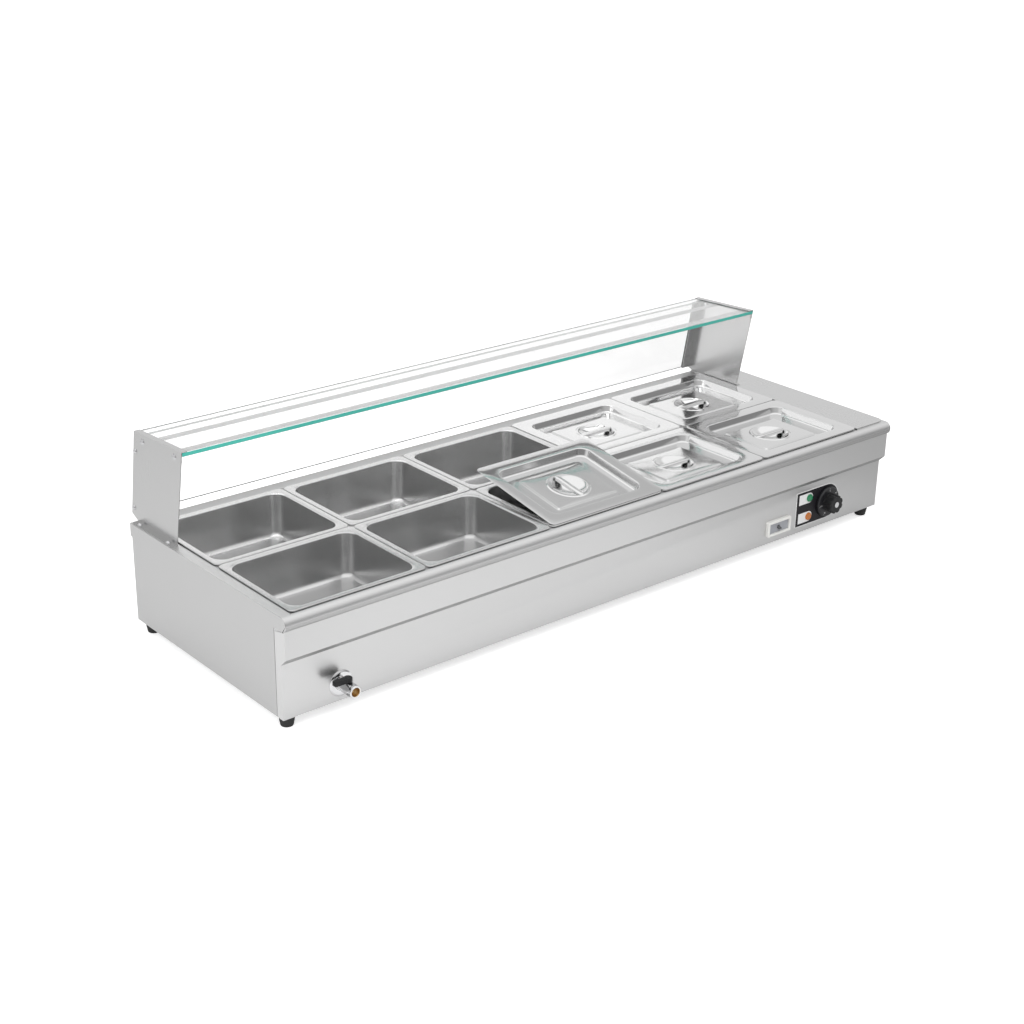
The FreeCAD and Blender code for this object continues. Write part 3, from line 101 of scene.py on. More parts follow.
def rounded_path(corners: list[Pair], radii: list[float], steps: int = 6) -> Array:
    """Round the inner corners of a polyline with arcs.

    Each corner gives way to an arc that touches both of its runs at radius / tan(half) from the corner, where
    half is half the angle between the runs.

    Args:
        corners: Points of the polyline.
        radii: Radius for each inner corner, so two fewer than the points.
        steps: Points on each arc.

    Returns:
        The path as an array of points, one per row.
    """
    points = np.array(corners, float)
    pieces = [points[:1]]
    for index, radius in enumerate(radii, start=1):
        before = points[index - 1] - points[index]
        after = points[index + 1] - points[index]
        before /= np.linalg.norm(before)
        after /= np.linalg.norm(after)
        half = math.acos(np.clip(before @ after, -1.0, 1.0)) / 2
        middle = (before + after) / np.linalg.norm(before + after)
        centre = points[index] + middle * radius / math.sin(half)
        reach = radius / math.tan(half)
        first = points[index] + before * reach - centre
        last = points[index] + after * reach - centre
        turn = math.atan2(first[0] * last[1] - first[1] * last[0], first @ last)
        angle = np.linspace(0.0, turn, steps)
        cos, sin = np.cos(angle), np.sin(angle)
        arc = np.stack([cos * first[0] - sin * first[1], sin * first[0] + cos * first[1]], axis=1)
        pieces.append(centre + arc)
    pieces.append(points[-1:])
    return np.concatenate(pieces)


def ring_angles(count: int) -> Array:
    """Return the angles -90 + 360 * (k + 0.5) / count degrees, in radians, for each point k of a ring."""
    return 2 * math.pi * (np.arange(count) + 0.5) / count - math.pi / 2


def circle_rings(radii: Array, count: int) -> Array:
    """Return circles about the origin, as a radius times (cos, sin) of the ring angles.

    Args:
        radii: One radius for each ring.
        count: Points on a ring.

    Returns:
        Rings of (a, b) points, counter-clockwise.
    """
    angle = ring_angles(count)
    return np.asarray(radii, float)[:, None, None] * np.stack([np.cos(angle), np.sin(angle)], axis=1)


def rounded_rings(half_a: Array, half_b: Array, corner: Array, steps: int = 12) -> Array:
    """Return rectangles about the origin with round corners.

    A corner's points are its centre plus the corner radius times (cos, sin) over a quarter turn.

    Args:
        half_a: Half of each ring's width.
        half_b: Half of each ring's height.
        corner: Corner radius of each ring.
        steps: Points on each corner, so a ring has four times as many.

    Returns:
        Rings of (a, b) points, counter-clockwise from the lower right corner.
    """
    sign = np.array([[1, -1], [1, 1], [-1, 1], [-1, -1]], float)
    start = np.radians([-90.0, 0.0, 90.0, 180.0])
    angle = (start[:, None] + np.linspace(0.0, math.pi / 2, steps)).ravel()
    side = np.repeat(sign, steps, axis=0)
    half = np.stack([np.asarray(half_a, float), np.asarray(half_b, float)], axis=1)
    radius = np.asarray(corner, float)[:, None, None]
    centres = side * (half[:, None, :] - radius)
    return centres + radius * np.stack([np.cos(angle), np.sin(angle)], axis=1)


def rectangle(a: Pair, b: Pair) -> Array:
    """Return the four corners of a rectangle between two values of a and of b, counter-clockwise."""
    return np.array([[a[0], b[0]], [a[1], b[0]], [a[1], b[1]], [a[0], b[1]]])


def stack(rings: Array, heights: Array) -> Array:
    """Lift flat rings to their heights.

    Args:
        rings: Rings of (a, b) points.
        heights: One height for each ring.

    Returns:
        Rings of (a, b, height) points.
    """
    level = np.repeat(np.asarray(heights, float)[:, None], rings.shape[1], axis=1)
    return np.concatenate([rings, level[..., None]], axis=2)


def raised(outline: Array, heights: Pair) -> Array:
    """Return the rings of an outline that is carried straight from one height to another."""
    return stack(np.stack([outline, outline]), np.array(heights))


def along_x(outline: Array, reach: Pair) -> Array:
    """Return the rings of a (y, z) outline that is carried straight from one x to another."""
    return np.roll(raised(outline, reach), 1, axis=-1)


def turned_rings(path: Array, count: int = 64) -> Array:
    """Return the rings of a turned part from its (radius, height) path."""
    return stack(circle_rings(path[:, 0], count), path[:, 1])


def plate_rings(half_a: float, half_b: float, corner: float, levels: Pair, edge: float,
                steps: int = 8) -> Array:
    """Return the rings of a flat plate with round corners and a rounded upper edge.

    They run up its side, round the edge and a little way in over its face. A corner's radius shrinks by as
    much as its ring is drawn in, down to a fifth.

    Args:
        half_a: Half of its width.
        half_b: Half of its height.
        corner: Corner radius seen from above.
        levels: Its lower and upper face.
        edge: Radius of the upper edge.
        steps: Points on each corner.

    Returns:
        Rings from the lower face to the upper one.
    """
    low, high = levels
    inset, level = rounded_path([(0.0, low), (0.0, high), (2 * edge, high)], [edge], steps=5).T
    corners = np.maximum(corner - inset, corner / 5)
    return stack(rounded_rings(half_a - inset, half_b - inset, corners, steps), level)


def facing_front(points: Array, origin: Triple) -> Array:
    """Turn (right, up, out) points to face the front of the appliance.

    Args:
        points: Points whose third number is the distance towards the viewer.
        origin: Where they are placed.

    Returns:
        Points in the frame.
    """
    return np.stack([points[..., 0], -points[..., 2], points[..., 1]], axis=-1) + np.array(origin)


def turned_about_x(points: Array, pivot: Array, degrees: float) -> Array:
    """Turn points about a line along X.

    Args:
        points: Points to turn.
        pivot: A point on the line.
        degrees: Turn from +Y towards +Z.

    Returns:
        The turned points.
    """
    cos, sin = math.cos(math.radians(degrees)), math.sin(math.radians(degrees))
    away = points - pivot
    y = away[..., 1] * cos - away[..., 2] * sin
    z = away[..., 1] * sin + away[..., 2] * cos
    return np.stack([away[..., 0], y, z], axis=-1) + pivot


@contextmanager
def edited(mesh: bpy.types.Mesh) -> Iterator[bmesh.types.BMesh]:
    """Open a mesh for bmesh operations, and write it back afterwards.

    Args:
        mesh: The mesh.

    Yields:
        Its working copy.
    """
    work = bmesh.new()
    work.from_mesh(mesh)
    yield work
    work.to_mesh(mesh)
    work.free()


def add_piece(name: str, mesh: bpy.types.Mesh, body: str, replaces: tuple[str, ...]) -> bpy.types.Object:
    """Put a dressed mesh into the scene as a piece that rides on a body.

    Args:
        name: Name of the piece.
        mesh: Its mesh, with its place and its materials.
        body: Name of the CAD body that carries it.
        replaces: CAD nodes that it stands for.

    Returns:
        The object.
    """
    piece = bpy.data.objects.new(name, mesh)
    bpy.context.scene.collection.objects.link(piece)
    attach(piece, body)
    if replaces:
        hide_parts(*replaces)
    LOG.info("%s on %s, %d faces", name, body, len(mesh.polygons))
    return piece


def round_edges(piece: bpy.types.Object, width: float, degrees: float) -> None:
    """Bevel the edges of a piece.

    Args:
        piece: The piece.
        width: Width of the bevel in millimetres.
        degrees: Edges that turn by less than this stay as they are.
    """
    bevel = piece.modifiers.new("edge", "BEVEL")
    bevel.width = width * MM
    bevel.segments = 2
    bevel.limit_method = "ANGLE"
    bevel.angle_limit = math.radians(degrees)
    bevel.harden_normals = True


class Skin:
    """Grids of points that together make one piece."""

    def __init__(self, name: str) -> None:
        """Start an empty piece.

        Args:
            name: Name of the piece.
        """
        self.name = name
        self.points: list[Array] = []
        self.faces: list[list[int]] = []
        self.slots: list[int] = []
        self.count = 0

    def add(self, grid: Array, around: bool = True, ends: tuple[bool, bool] = (False, False),
            slot: int = 0, end_slot: int | None = None) -> "Skin":
        """Add a grid of points as quads, one for each cell.

        A cell's normal is the direction along its row crossed with the direction to the next row.

        Args:
            grid: Rows of points.
            around: Whether each row closes on itself.
            ends: Whether the first and the last row are closed with a flat face.
            slot: Material slot of the quads.
            end_slot: Material slot of the end faces, if it differs.

        Returns:
            This piece.
        """
        rows, columns = grid.shape[:2]
        index = np.arange(rows * columns).reshape(rows, columns) + self.count
        beside = np.roll(index, -1, axis=1)
        if not around:
            index, beside = index[:, :-1], beside[:, :-1]
        cells = np.stack([index[:-1], beside[:-1], beside[1:], index[1:]], axis=-1).reshape(-1, 4)
        self.faces += cells.tolist()
        self.slots += [slot] * len(cells)
        for wanted, row in zip(ends, (index[0][::-1], index[-1])):
            if wanted:
                self.faces.append(row.tolist())
                self.slots.append(slot if end_slot is None else end_slot)
        self.points.append(grid.reshape(-1, 3))
        self.count += rows * columns
        return self

    def solid(self, grid: Array, slot: int = 0, end_slot: int | None = None) -> "Skin":
        """Add rings with both ends closed, as add does."""
        return self.add(grid, ends=(True, True), slot=slot, end_slot=end_slot)

    def build(self, finishes: list["Finish"], body: str, replaces: tuple[str, ...], slot: str,
              wall: float = 0.0, sharp: float = 40.0, closed: bool = False) -> bpy.types.Object:
        """Make the mesh object, dress it and let it ride on its body.

        Args:
            finishes: Finish of each material slot.
            body: Name of the CAD body that carries the piece.
            replaces: CAD nodes that the piece stands for.
            slot: Material slot of the record; not used.
            wall: Thickness added below the surface, in millimetres.
            sharp: Edges that turn by more degrees than this stay crisp.
            closed: Whether the grids make closed solids, whose faces are turned outwards.

        Returns:
            The object.
        """
        mesh = bpy.data.meshes.new(self.name)
        mesh.from_pydata((np.concatenate(self.points) * MM).tolist(), [], self.faces)
        mesh.polygons.foreach_set("material_index", self.slots)
        with edited(mesh) as work:
            bmesh.ops.remove_doubles(work, verts=work.verts, dist=MERGE_REACH)
            if closed:
                bmesh.ops.recalc_face_normals(work, faces=work.faces)
        mesh.shade_smooth()
        mesh.set_sharp_from_angle(angle=math.radians(sharp))
        for finish in finishes:
            mesh.materials.append(finish.material())
        piece = add_piece(self.name, mesh, body, replaces)
        if wall:
            solidify = piece.modifiers.new("wall", "SOLIDIFY")
            solidify.thickness = wall * MM
            solidify.offset = -1.0
            solidify.use_even_offset = True
        return piece


class Nodes:
    """A node tree with short calls for the nodes that the finishes use."""

    def __init__(self, tree: bpy.types.NodeTree) -> None:
        """Work in this tree."""
        self.tree = tree

    def feed(self, value: object, target: Socket) -> None:
        """Give an input its value.

        Args:
            value: An output to link, or else a number, vector or colour.
            target: The input.
        """
        if isinstance(value, Socket):
            self.tree.links.new(value, target)
        else:
            target.default_value = value

    def fill(self, node: bpy.types.Node, **values: object) -> None:
        """Feed the inputs of a node that have these names, with _ for a space."""
        for name, value in values.items():
            self.feed(value, node.inputs[name.replace("_", " ")])

    def add(self, kind: str, **settings: object) -> bpy.types.Node:
        """Add a node.

        Args:
            kind: Blender's name for the node type.
            settings: Values for its attributes, or for its inputs where the name is an input's.

        Returns:
            The node.
        """
        node = self.tree.nodes.new(kind)
        for name, value in settings.items():
            if hasattr(node, name):
                setattr(node, name, value)
            else:
                self.fill(node, **{name: value})
        return node

    def object_place(self) -> Socket:
        """Return the Object coordinates."""
        return self.add("ShaderNodeTexCoord").outputs["Object"]

    def noise(self, place: Socket, scale: Socket | float, detail: float, roughness: float = 0.5) -> Socket:
        """Return the value of a noise texture.

        Args:
            place: Coordinates that it follows.
            scale: Its scale.
            detail: Its number of octaves.
            roughness: Weight of the finer octaves.

        Returns:
            An output that lies about 0.5.
        """
        node = self.add("ShaderNodeTexNoise", Vector=place, Scale=scale, Detail=detail, Roughness=roughness)
        return node.outputs["Fac"]

    def rise(self, value: Socket, reach: Pair) -> Socket:
        """Return an output that goes smoothly from 0 to 1 while a value crosses a reach.

        Args:
            value: The value.
            reach: Where it starts and ends.

        Returns:
            The output.
        """
        node = self.add("ShaderNodeMapRange", interpolation_type="SMOOTHSTEP", Value=value)
        self.fill(node, From_Min=reach[0], From_Max=reach[1])
        return node.outputs["Result"]

    def math(self, operation: str, first: object, *others: object) -> Socket:
        """Join values by an operation, from left to right.

        Args:
            operation: Blender's name for the operation.
            first: A number or an output.
            others: More of them.

        Returns:
            The result's output.
        """
        for value in others:
            node = self.add("ShaderNodeMath", operation=operation)
            self.feed(first, node.inputs[0])
            self.feed(value, node.inputs[1])
            first = node.outputs[0]
        return first

    def product(self, *factors: object) -> Socket:
        """Multiply numbers and outputs."""
        return self.math("MULTIPLY", *factors)

    def total(self, *terms: object) -> Socket:
        """Add up numbers and outputs."""
        return self.math("ADD", *terms)

    def vector(self, operation: str, first: object, second: object) -> Socket:
        """Join two vectors.

        Args:
            operation: Blender's name for the operation.
            first: Three numbers or an output.
            second: Three numbers or an output.

        Returns:
            The result's output.
        """
        node = self.add("ShaderNodeVectorMath", operation=operation)
        self.feed(first, node.inputs[0])
        self.feed(second, node.inputs[1])
        return node.outputs[0]


Wiring = Callable[[Nodes, bpy.types.NodeOutputs], dict[str, Socket]]


def shader_group(name: str, wire: Wiring, inputs: dict[str, object]) -> bpy.types.NodeTree:
    """Return a shader node group, built on its first use.

    Args:
        name: Name of the group.
        wire: Builds the inner nodes from the inputs, and returns the number that each output gives.
        inputs: Default value of each input but Vector: a number, or three for a vector.

    Returns:
        The group.
    """
    found = bpy.data.node_groups.get(name)
    if found:
        return found
    tree = bpy.data.node_groups.new(name, "ShaderNodeTree")
    for label, value in {"Vector": (0.0, 0.0, 0.0), **inputs}.items():
        kind = "NodeSocketVector" if isinstance(value, tuple) else "NodeSocketFloat"
        tree.interface.new_socket(label, in_out="INPUT", socket_type=kind).default_value = value
    nodes = Nodes(tree)
    results = wire(nodes, nodes.add("NodeGroupInput").outputs)
    for label in results:
        tree.interface.new_socket(label, in_out="OUTPUT", socket_type="NodeSocketFloat")
    nodes.add("NodeGroupOutput", **results)
    return tree


def placed_group(nodes: Nodes, name: str, wire: Wiring, place: Socket,
                 **values: object) -> bpy.types.NodeOutputs:
    """Place a shader node group in a material with its own values, and return its outputs."""
    tree = shader_group(name, wire, values)
    return nodes.add("ShaderNodeGroup", node_tree=tree, Vector=place, **values).outputs


def wire_grain(nodes: Nodes, inlet: bpy.types.NodeOutputs) -> dict[str, Socket]:
    """Wire the grain of brushed sheet: noise drawn out along one axis, with broad cloudy marks.

    The shift is the grain's distance from 0.5 times the depth, plus the clouds' distance from 0.5 times their
    weight. Tone is 1 plus the shift, and Rough is one and a half times the shift, for the roughness.

    Args:
        nodes: Calls for the group's tree.
        inlet: The group's inputs.

    Returns:
        What each output gives.
    """
    drawn = nodes.vector("MULTIPLY", inlet["Vector"], inlet["Stretch"])
    grain = nodes.noise(drawn, inlet["Scale"], detail=3.0, roughness=0.6)
    cloud = nodes.noise(inlet["Vector"], scale=7.0, detail=2.0)
    shift = nodes.total(nodes.product(nodes.math("SUBTRACT", grain, 0.5), inlet["Depth"]),
                        nodes.product(nodes.math("SUBTRACT", cloud, 0.5), inlet["Clouds"]))
    return {"Tone": nodes.total(shift, 1.0), "Rough": nodes.product(shift, 1.5), "Height": grain}


def wire_skin(nodes: Nodes, inlet: bpy.types.NodeOutputs) -> dict[str, Socket]:
    """Wire the fine pebbled skin of moulded plastic and rubber, with faint dust in it.

    Args:
        nodes: Calls for the group's tree.
        inlet: The group's inputs.

    Returns:
        What each output gives.
    """
    pebble = nodes.add("ShaderNodeTexVoronoi", feature="SMOOTH_F1", Vector=inlet["Vector"],
                       Scale=inlet["Scale"])
    cloud = nodes.noise(inlet["Vector"], scale=60.0, detail=4.0)
    return {"Height": pebble.outputs["Distance"], "Dust": nodes.product(cloud, inlet["Dust"])}


class GrainAxis(Enum):
    """Direction in which a sheet was brushed, as the stretch of its grain."""

    LENGTH = (0.02, 1.0, 1.0)
    DEPTH = (1.0, 0.02, 1.0)
    HEIGHT = (1.0, 1.0, 0.02)
    NONE = (0.6, 0.6, 0.6)


@dataclass(frozen=True)
class Finish:
    """A finish with a plain colour; the kinds below add their detail to it."""

    name: str
    color: Triple
    roughness: float

    def material(self) -> bpy.types.Material:
        """Make the material on first use, with the colour and roughness on its shader.

        Returns:
            The material.
        """
        found = bpy.data.materials.get(self.name)
        if found:
            return found
        made = bpy.data.materials.new(self.name)
        made.use_nodes = True
        made.diffuse_color = (*self.color, 1.0)
        shader = made.node_tree.nodes["Principled BSDF"]
        nodes = Nodes(made.node_tree)
        nodes.fill(shader, Base_Color=(*self.color, 1.0), Roughness=self.roughness)
        self.dress(nodes, shader, nodes.object_place())
        return made

    def dress(self, nodes: Nodes, shader: bpy.types.Node, place: Socket) -> None:
        """Add the finish's own detail to the shader.

        Args:
            nodes: Calls for the material's tree.
            shader: Its Principled BSDF.
            place: The Object coordinates.
        """

    def tinted(self, nodes: Nodes, factor: Socket) -> Socket:
        """Return the colour multiplied by a factor that changes over the surface."""
        scaled = nodes.add("ShaderNodeVectorMath", operation="SCALE", Vector=self.color, Scale=factor)
        return scaled.outputs[0]

    def bumped(self, nodes: Nodes, height: Socket, strength: float) -> Socket:
        """Return the normal of a surface raised by up to a tenth of a millimetre."""
        bump = nodes.add("ShaderNodeBump", Strength=strength, Distance=0.1 * MM, Height=height)
        return bump.outputs["Normal"]


@dataclass(frozen=True)
class Steel(Finish):
    """Stainless sheet, brushed along one axis."""

    axis: GrainAxis = GrainAxis.LENGTH
    scale: float = 1800.0
    depth: float = 0.03
    clouds: float = 0.03
    relief: float = 0.05

    def dress(self, nodes: Nodes, shader: bpy.types.Node, place: Socket) -> None:
        """Add the brushed grain to the colour, the roughness and the relief.

        Args:
            nodes: Calls for the material's tree.
            shader: Its Principled BSDF.
            place: The Object coordinates.
        """
        grain = placed_group(nodes, "brushed grain", wire_grain, place, Stretch=self.axis.value,
                             Scale=self.scale, Depth=self.depth, Clouds=self.clouds)
        nodes.fill(shader, Metallic=1.0, Base_Color=self.tinted(nodes, grain["Tone"]),
                   Roughness=nodes.total(grain["Rough"], self.roughness),
                   Normal=self.bumped(nodes, grain["Height"], self.relief))


@dataclass(frozen=True)
class Moulded(Finish):
    """Moulded plastic or rubber with a fine skin."""

    scale: float = 1800.0
    relief: float = 0.2
    dust: float = 0.1
    coat: float = 0.0
    coat_roughness: float = 0.08
    specular: float = 0.5

    def dress(self, nodes: Nodes, shader: bpy.types.Node, place: Socket) -> None:
        """Add the skin's relief, and its dust to the colour and the roughness.

        Args:
            nodes: Calls for the material's tree.
            shader: Its Principled BSDF.
            place: The Object coordinates.
        """
        skin = placed_group(nodes, "moulded skin", wire_skin, place, Scale=self.scale, Dust=self.dust)
        tone = nodes.total(skin["Dust"], 1.0 - self.dust / 2)
        nodes.fill(shader, Coat_Weight=self.coat, Coat_Roughness=self.coat_roughness,
                   Specular_IOR_Level=self.specular, Base_Color=self.tinted(nodes, tone),
                   Roughness=nodes.total(skin["Dust"], self.roughness),
                   Normal=self.bumped(nodes, skin["Height"], self.relief))


@dataclass(frozen=True)
class ClearGlass(Finish):
    """Float glass seen through its faces."""

    ior: float = 1.5
    wipe: float = 0.02

    def dress(self, nodes: Nodes, shader: bpy.types.Node, place: Socket) -> None:
        """Let light through, and shift the roughness faintly as wiped glass does."""
        wiped = nodes.product(nodes.noise(place, scale=9.0, detail=2.0), self.wipe)
        nodes.fill(shader, Transmission_Weight=1.0, IOR=self.ior, Roughness=wiped)


@dataclass(frozen=True)
class GlassEdge(Finish):
    """Polished edge of float glass, which gathers its green, with cloudy lighter runs along X."""

    light: Triple
    drawn: Triple = (1.0, 12.0, 12.0)
    coat: float = 0.6

    def dress(self, nodes: Nodes, shader: bpy.types.Node, place: Socket) -> None:
        """Mix the deep and the light colour along the edge.

        Args:
            nodes: Calls for the material's tree.
            shader: Its Principled BSDF.
            place: The Object coordinates.
        """
        drawn = nodes.add("ShaderNodeMapping", Vector=place, Scale=self.drawn).outputs[0]
        mix = nodes.add("ShaderNodeMix", data_type="RGBA", Factor=nodes.noise(drawn, scale=4.0, detail=3.0))
        for label, value in (("A", self.color), ("B", self.light)):
            color = next(s for s in mix.inputs if s.name == label and s.type == "RGBA")
            color.default_value = (*value, 1.0)
        result = next(s for s in mix.outputs if s.type == "RGBA")
        nodes.fill(shader, Base_Color=result, Coat_Weight=self.coat)


@dataclass(frozen=True)
class Chrome(Finish):
    """Plated metal with faint wiped clouds in its polish."""

    wipe: float = 0.08

    def dress(self, nodes: Nodes, shader: bpy.types.Node, place: Socket) -> None:
        """Make it metal and vary the roughness a little."""
        shift = nodes.product(nodes.noise(place, scale=120.0, detail=3.0), self.wipe)
        nodes.fill(shader, Metallic=1.0, Roughness=nodes.total(shift, self.roughness))


@dataclass(frozen=True)
class Lens(Finish):
    """Coloured lamp lens with concentric ribs behind its polished face."""

    centre: Pair = (0.0, 0.0)
    glow: float = 0.05
    rib_turn: float = 4200.0
    rib_depth: float = 0.12
    tone: float = 0.9
    coat: float = 0.4
    coat_roughness: float = 0.05

    def dress(self, nodes: Nodes, shader: bpy.types.Node, place: Socket) -> None:
        """Ring the colour about the lens axis by the sine of the distance from it, under a clear coat.

        Args:
            nodes: Calls for the material's tree.
            shader: Its Principled BSDF.
            place: The Object coordinates.
        """
        moved = nodes.vector("SUBTRACT", place, (self.centre[0] * MM, 0.0, self.centre[1] * MM))
        flat = nodes.vector("MULTIPLY", moved, (1.0, 0.0, 1.0))
        far = nodes.add("ShaderNodeVectorMath", operation="LENGTH", Vector=flat).outputs["Value"]
        ribs = nodes.math("SINE", nodes.product(far, self.rib_turn), 0.0)
        tone = nodes.total(nodes.product(ribs, self.rib_depth), self.tone)
        nodes.fill(shader, Base_Color=self.tinted(nodes, tone), Coat_Weight=self.coat,
                   Coat_Roughness=self.coat_roughness, Emission_Color=(*self.color, 1.0),
                   Emission_Strength=self.glow)


def grey(tone: float) -> Triple:
    """Return a neutral colour."""
    return tone, tone, tone


CASING = Steel("brushed steel, along", grey(0.69), 0.32)
# Darker steel painted on faces in folds and under the round front, as their shade.
FOLD_SHADE_STEEL = Steel("steel painted with fold shade", grey(0.46), 0.45)
# Darker steel painted on the upright band below the round front, as the shade it shows.
SHADED_APRON_STEEL = Steel("steel below the round front, painted darker as shade", grey(0.48), 0.30)
ROLLED = Steel("brushed steel, rolled", grey(0.64), 0.44)
SIDE = Steel("brushed steel, upright", grey(0.56), 0.26, GrainAxis.HEIGHT)
DECK = Steel("brushed steel, across", grey(0.62), 0.28, GrainAxis.DEPTH)
INNER = Steel("mill steel", (0.55, 0.555, 0.56), 0.42, GrainAxis.NONE, clouds=0.12)
PRESSED = Steel("pressed steel", grey(0.68), 0.11)
POLISHED = Steel("pan steel", grey(0.60), 0.22, GrainAxis.NONE, depth=0.012)
CHROME = Chrome("chrome", (0.78, 0.78, 0.79), 0.10)
SCREW = Chrome("screw steel", (0.58, 0.58, 0.59), 0.10)
BRASS = Chrome("brass", (0.72, 0.52, 0.28), 0.28)
COPPER = Chrome("copper", (0.72, 0.42, 0.28), 0.25)
KNOB_BLACK = Moulded("knob black", (0.012, 0.012, 0.013), 0.36, scale=2500.0, specular=0.35)
DIAL_GREY = Moulded("dial grey", (0.012, 0.012, 0.014), 0.30, scale=2500.0)
RUBBER = Moulded("rubber", (0.012, 0.012, 0.013), 0.62, scale=1200.0, relief=0.5)
PLATE_BLACK = Moulded("fascia black", (0.012, 0.011, 0.014), 0.40, scale=3000.0, relief=0.1, specular=0.25)
PRINT_WHITE = Moulded("printed white", grey(0.80), 0.45, scale=3000.0, relief=0.1)
CREAM = Moulded("cream plastic", (0.80, 0.795, 0.77), 0.34, coat=0.3)
# The breaker's recessed plate, painted grey as the shade in its recess.
RECESS_SHADE_GREY = Moulded("breaker plate, painted grey as recess shade", (0.36, 0.37, 0.40), 0.40)
GREY = Moulded("grey plastic", (0.10, 0.105, 0.11), 0.40)
WOOL = Moulded("insulation", (0.55, 0.50, 0.30), 0.9, scale=300.0, relief=0.8, dust=0.3)
# Grey bands under the top pane: painted reflections of its edge as seen through the glass.
REFLECTION_BAND_GREY = Moulded("grey band painted as a glass reflection", grey(0.36), 0.45)
GLASS = ClearGlass("float glass", grey(1.0), 0.0)
GLASS_EDGE = GlassEdge("glass edge", (0.02, 0.34, 0.28), 0.15, (0.06, 0.52, 0.43))
GROUND_EDGE = GlassEdge("ground glass edge", (0.20, 0.21, 0.21), 0.4, (0.36, 0.38, 0.38))

ROUNDED_SHEETS: dict[Finish, tuple[str, ...]] = {
    CASING: ("front_panel", "back_panel"),
    SIDE: ("guard_panel_left", "guard_panel_right"),
}

BARE_NODES: dict[Finish, tuple[str, ...]] = {
    CASING: ("centre_bar",),
    SIDE: ("glass_channels", "glass_brackets"),
    DECK: ("deck_cover", "cross_bars"),
    INNER: ("base_tray", "water_tank", "heating_element"),
    CHROME: ("valve_ball", "thermostat_shaft"),
    SCREW: ("guard_bolts", "guard_foot_screws"),
    COPPER: ("drain_elbow", "thermostat_capillary"),
    KNOB_BLACK: ("thermostat_body",),
    # The breaker's plate takes the grey painted as recess shade.
    RECESS_SHADE_GREY: ("breaker_body",),
    CREAM: ("terminal_block",),
    GREY: ("cable_gland",),
    WOOL: ("insulation_blanket",),
}


def dress_bare_nodes() -> None:
    """Give each CAD node that is shown as it is its finish."""
    for finish, names in BARE_NODES.items():
        for name in names:
            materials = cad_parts[name].data.materials
            materials.clear()
            materials.append(finish.material())


@dataclass
class TopPlate:
    """Folded cover with a full round front, end aprons with their own edge, and the long opening."""

    sheet: float = 1.0
    drop: float = 30.0
    roll: float = 16.0
    under: float = 14.0
    tuck_back: float = 10.0
    tuck_rise: float = 2.0
    flat_run: float = 60.0
    gap: float = 0.3
    dark_rows: int = 8
    roll_slack: float = 0.1
    rim: float = 0.45
    opening_turn: float = 4.0

    def front_path(self) -> Array:
        """Trace the round front: forward over the top, down round the roll, and back under it.

        Returns:
            Its path, as distances back from the front and down from the top.
        """
        corners = [(self.flat_run, 0.0), (0.0, 0.0), (0.0, self.drop - self.tuck_rise),
                   (self.tuck_back, self.drop)]
        return rounded_path(corners, [self.roll, self.under], steps=12)

    def build(self) -> None:
        """Make the deck with its front, and the aprons round the other three sides."""
        plate = box_mm("top_plate")
        self.build_deck(plate, box_mm("water_tank"))
        self.build_aprons(plate)

    def build_deck(self, plate: Box, tank: Box) -> None:
        """Make the deck from cells around the opening, and sweep the front's path along X.

        The fold's first rows are painted as a dark shaded underside. Above them the apron is painted a darker
        tone as shade, up to where the roll starts, and the roll is one with the deck.

        Args:
            plate: Box of the top plate.
            tank: Box of the water tank, which fills the opening.
        """
        x0, x1 = plate.low[0] + self.sheet, plate.high[0] - self.sheet
        x = np.array([x0, x0 + self.gap, tank.low[0] - self.gap, tank.high[0] + self.gap, x1 - self.gap, x1])
        y = np.array([tank.low[1] - self.gap, tank.high[1] + self.gap, plate.high[1] - self.sheet])
        top = plate.high[2]
        path = self.front_path()
        path[0, 0] = y[0] - plate.low[1]
        back, down = path[::-1].T[..., None]
        front = np.stack(np.broadcast_arrays(x, plate.low[1] + back, top - down), axis=-1)
        upright = int(np.argmax(down < self.roll + self.roll_slack))
        skin = Skin("top_plate_form")
        # The fold's rows take the steel painted with shade, and the upright band the darker painted apron
        # tone.
        skin.add(front[:self.dark_rows + 1], around=False, slot=1)
        skin.add(front[self.dark_rows:upright + 1], around=False, slot=2)
        skin.add(front[upright:], around=False)
        opening = (0, 2)
        for row, column in np.ndindex(len(y) - 1, len(x) - 1):
            if (row, column) != opening:
                cell = np.meshgrid(x[column:column + 2], y[row:row + 2])
                skin.add(np.stack([*cell, np.full((2, 2), top)], axis=-1), around=False)
        wall = raised(rectangle((x[2], x[3]), (y[0], y[1])), (top - self.opening_turn, top))
        skin.add(wall[::-1])
        skin.build([ROLLED, FOLD_SHADE_STEEL, SHADED_APRON_STEEL], "housing", ("top_plate",), "casing_steel",
                   wall=self.sheet * WALL_SHARE)

    def build_aprons(self, plate: Box) -> None:
        """Make the two end aprons, whose front edges follow the round front, and the rear one.

        Args:
            plate: Box of the top plate.
        """
        low, high, depth = plate.low, plate.high, plate.size[1]
        back, down = np.concatenate([[[depth, 0.0]], self.front_path()[1:], [[depth, self.drop]]]).T
        outline = np.column_stack([low[1] + back, high[2] - down])
        rear = rectangle((low[0] + self.sheet, high[0] - self.sheet), (high[1] - self.sheet, high[1]))
        for side, rings in (("left", along_x(outline, (low[0], low[0] + self.sheet))),
                            ("right", along_x(outline, (high[0] - self.sheet, high[0]))),
                            ("back", raised(rear, (high[2] - self.drop, high[2])))):
            apron = Skin("top_plate_apron_" + side).solid(rings)
            round_edges(apron.build([SIDE], "housing", (), "casing_steel", closed=True), self.rim, 50.0)


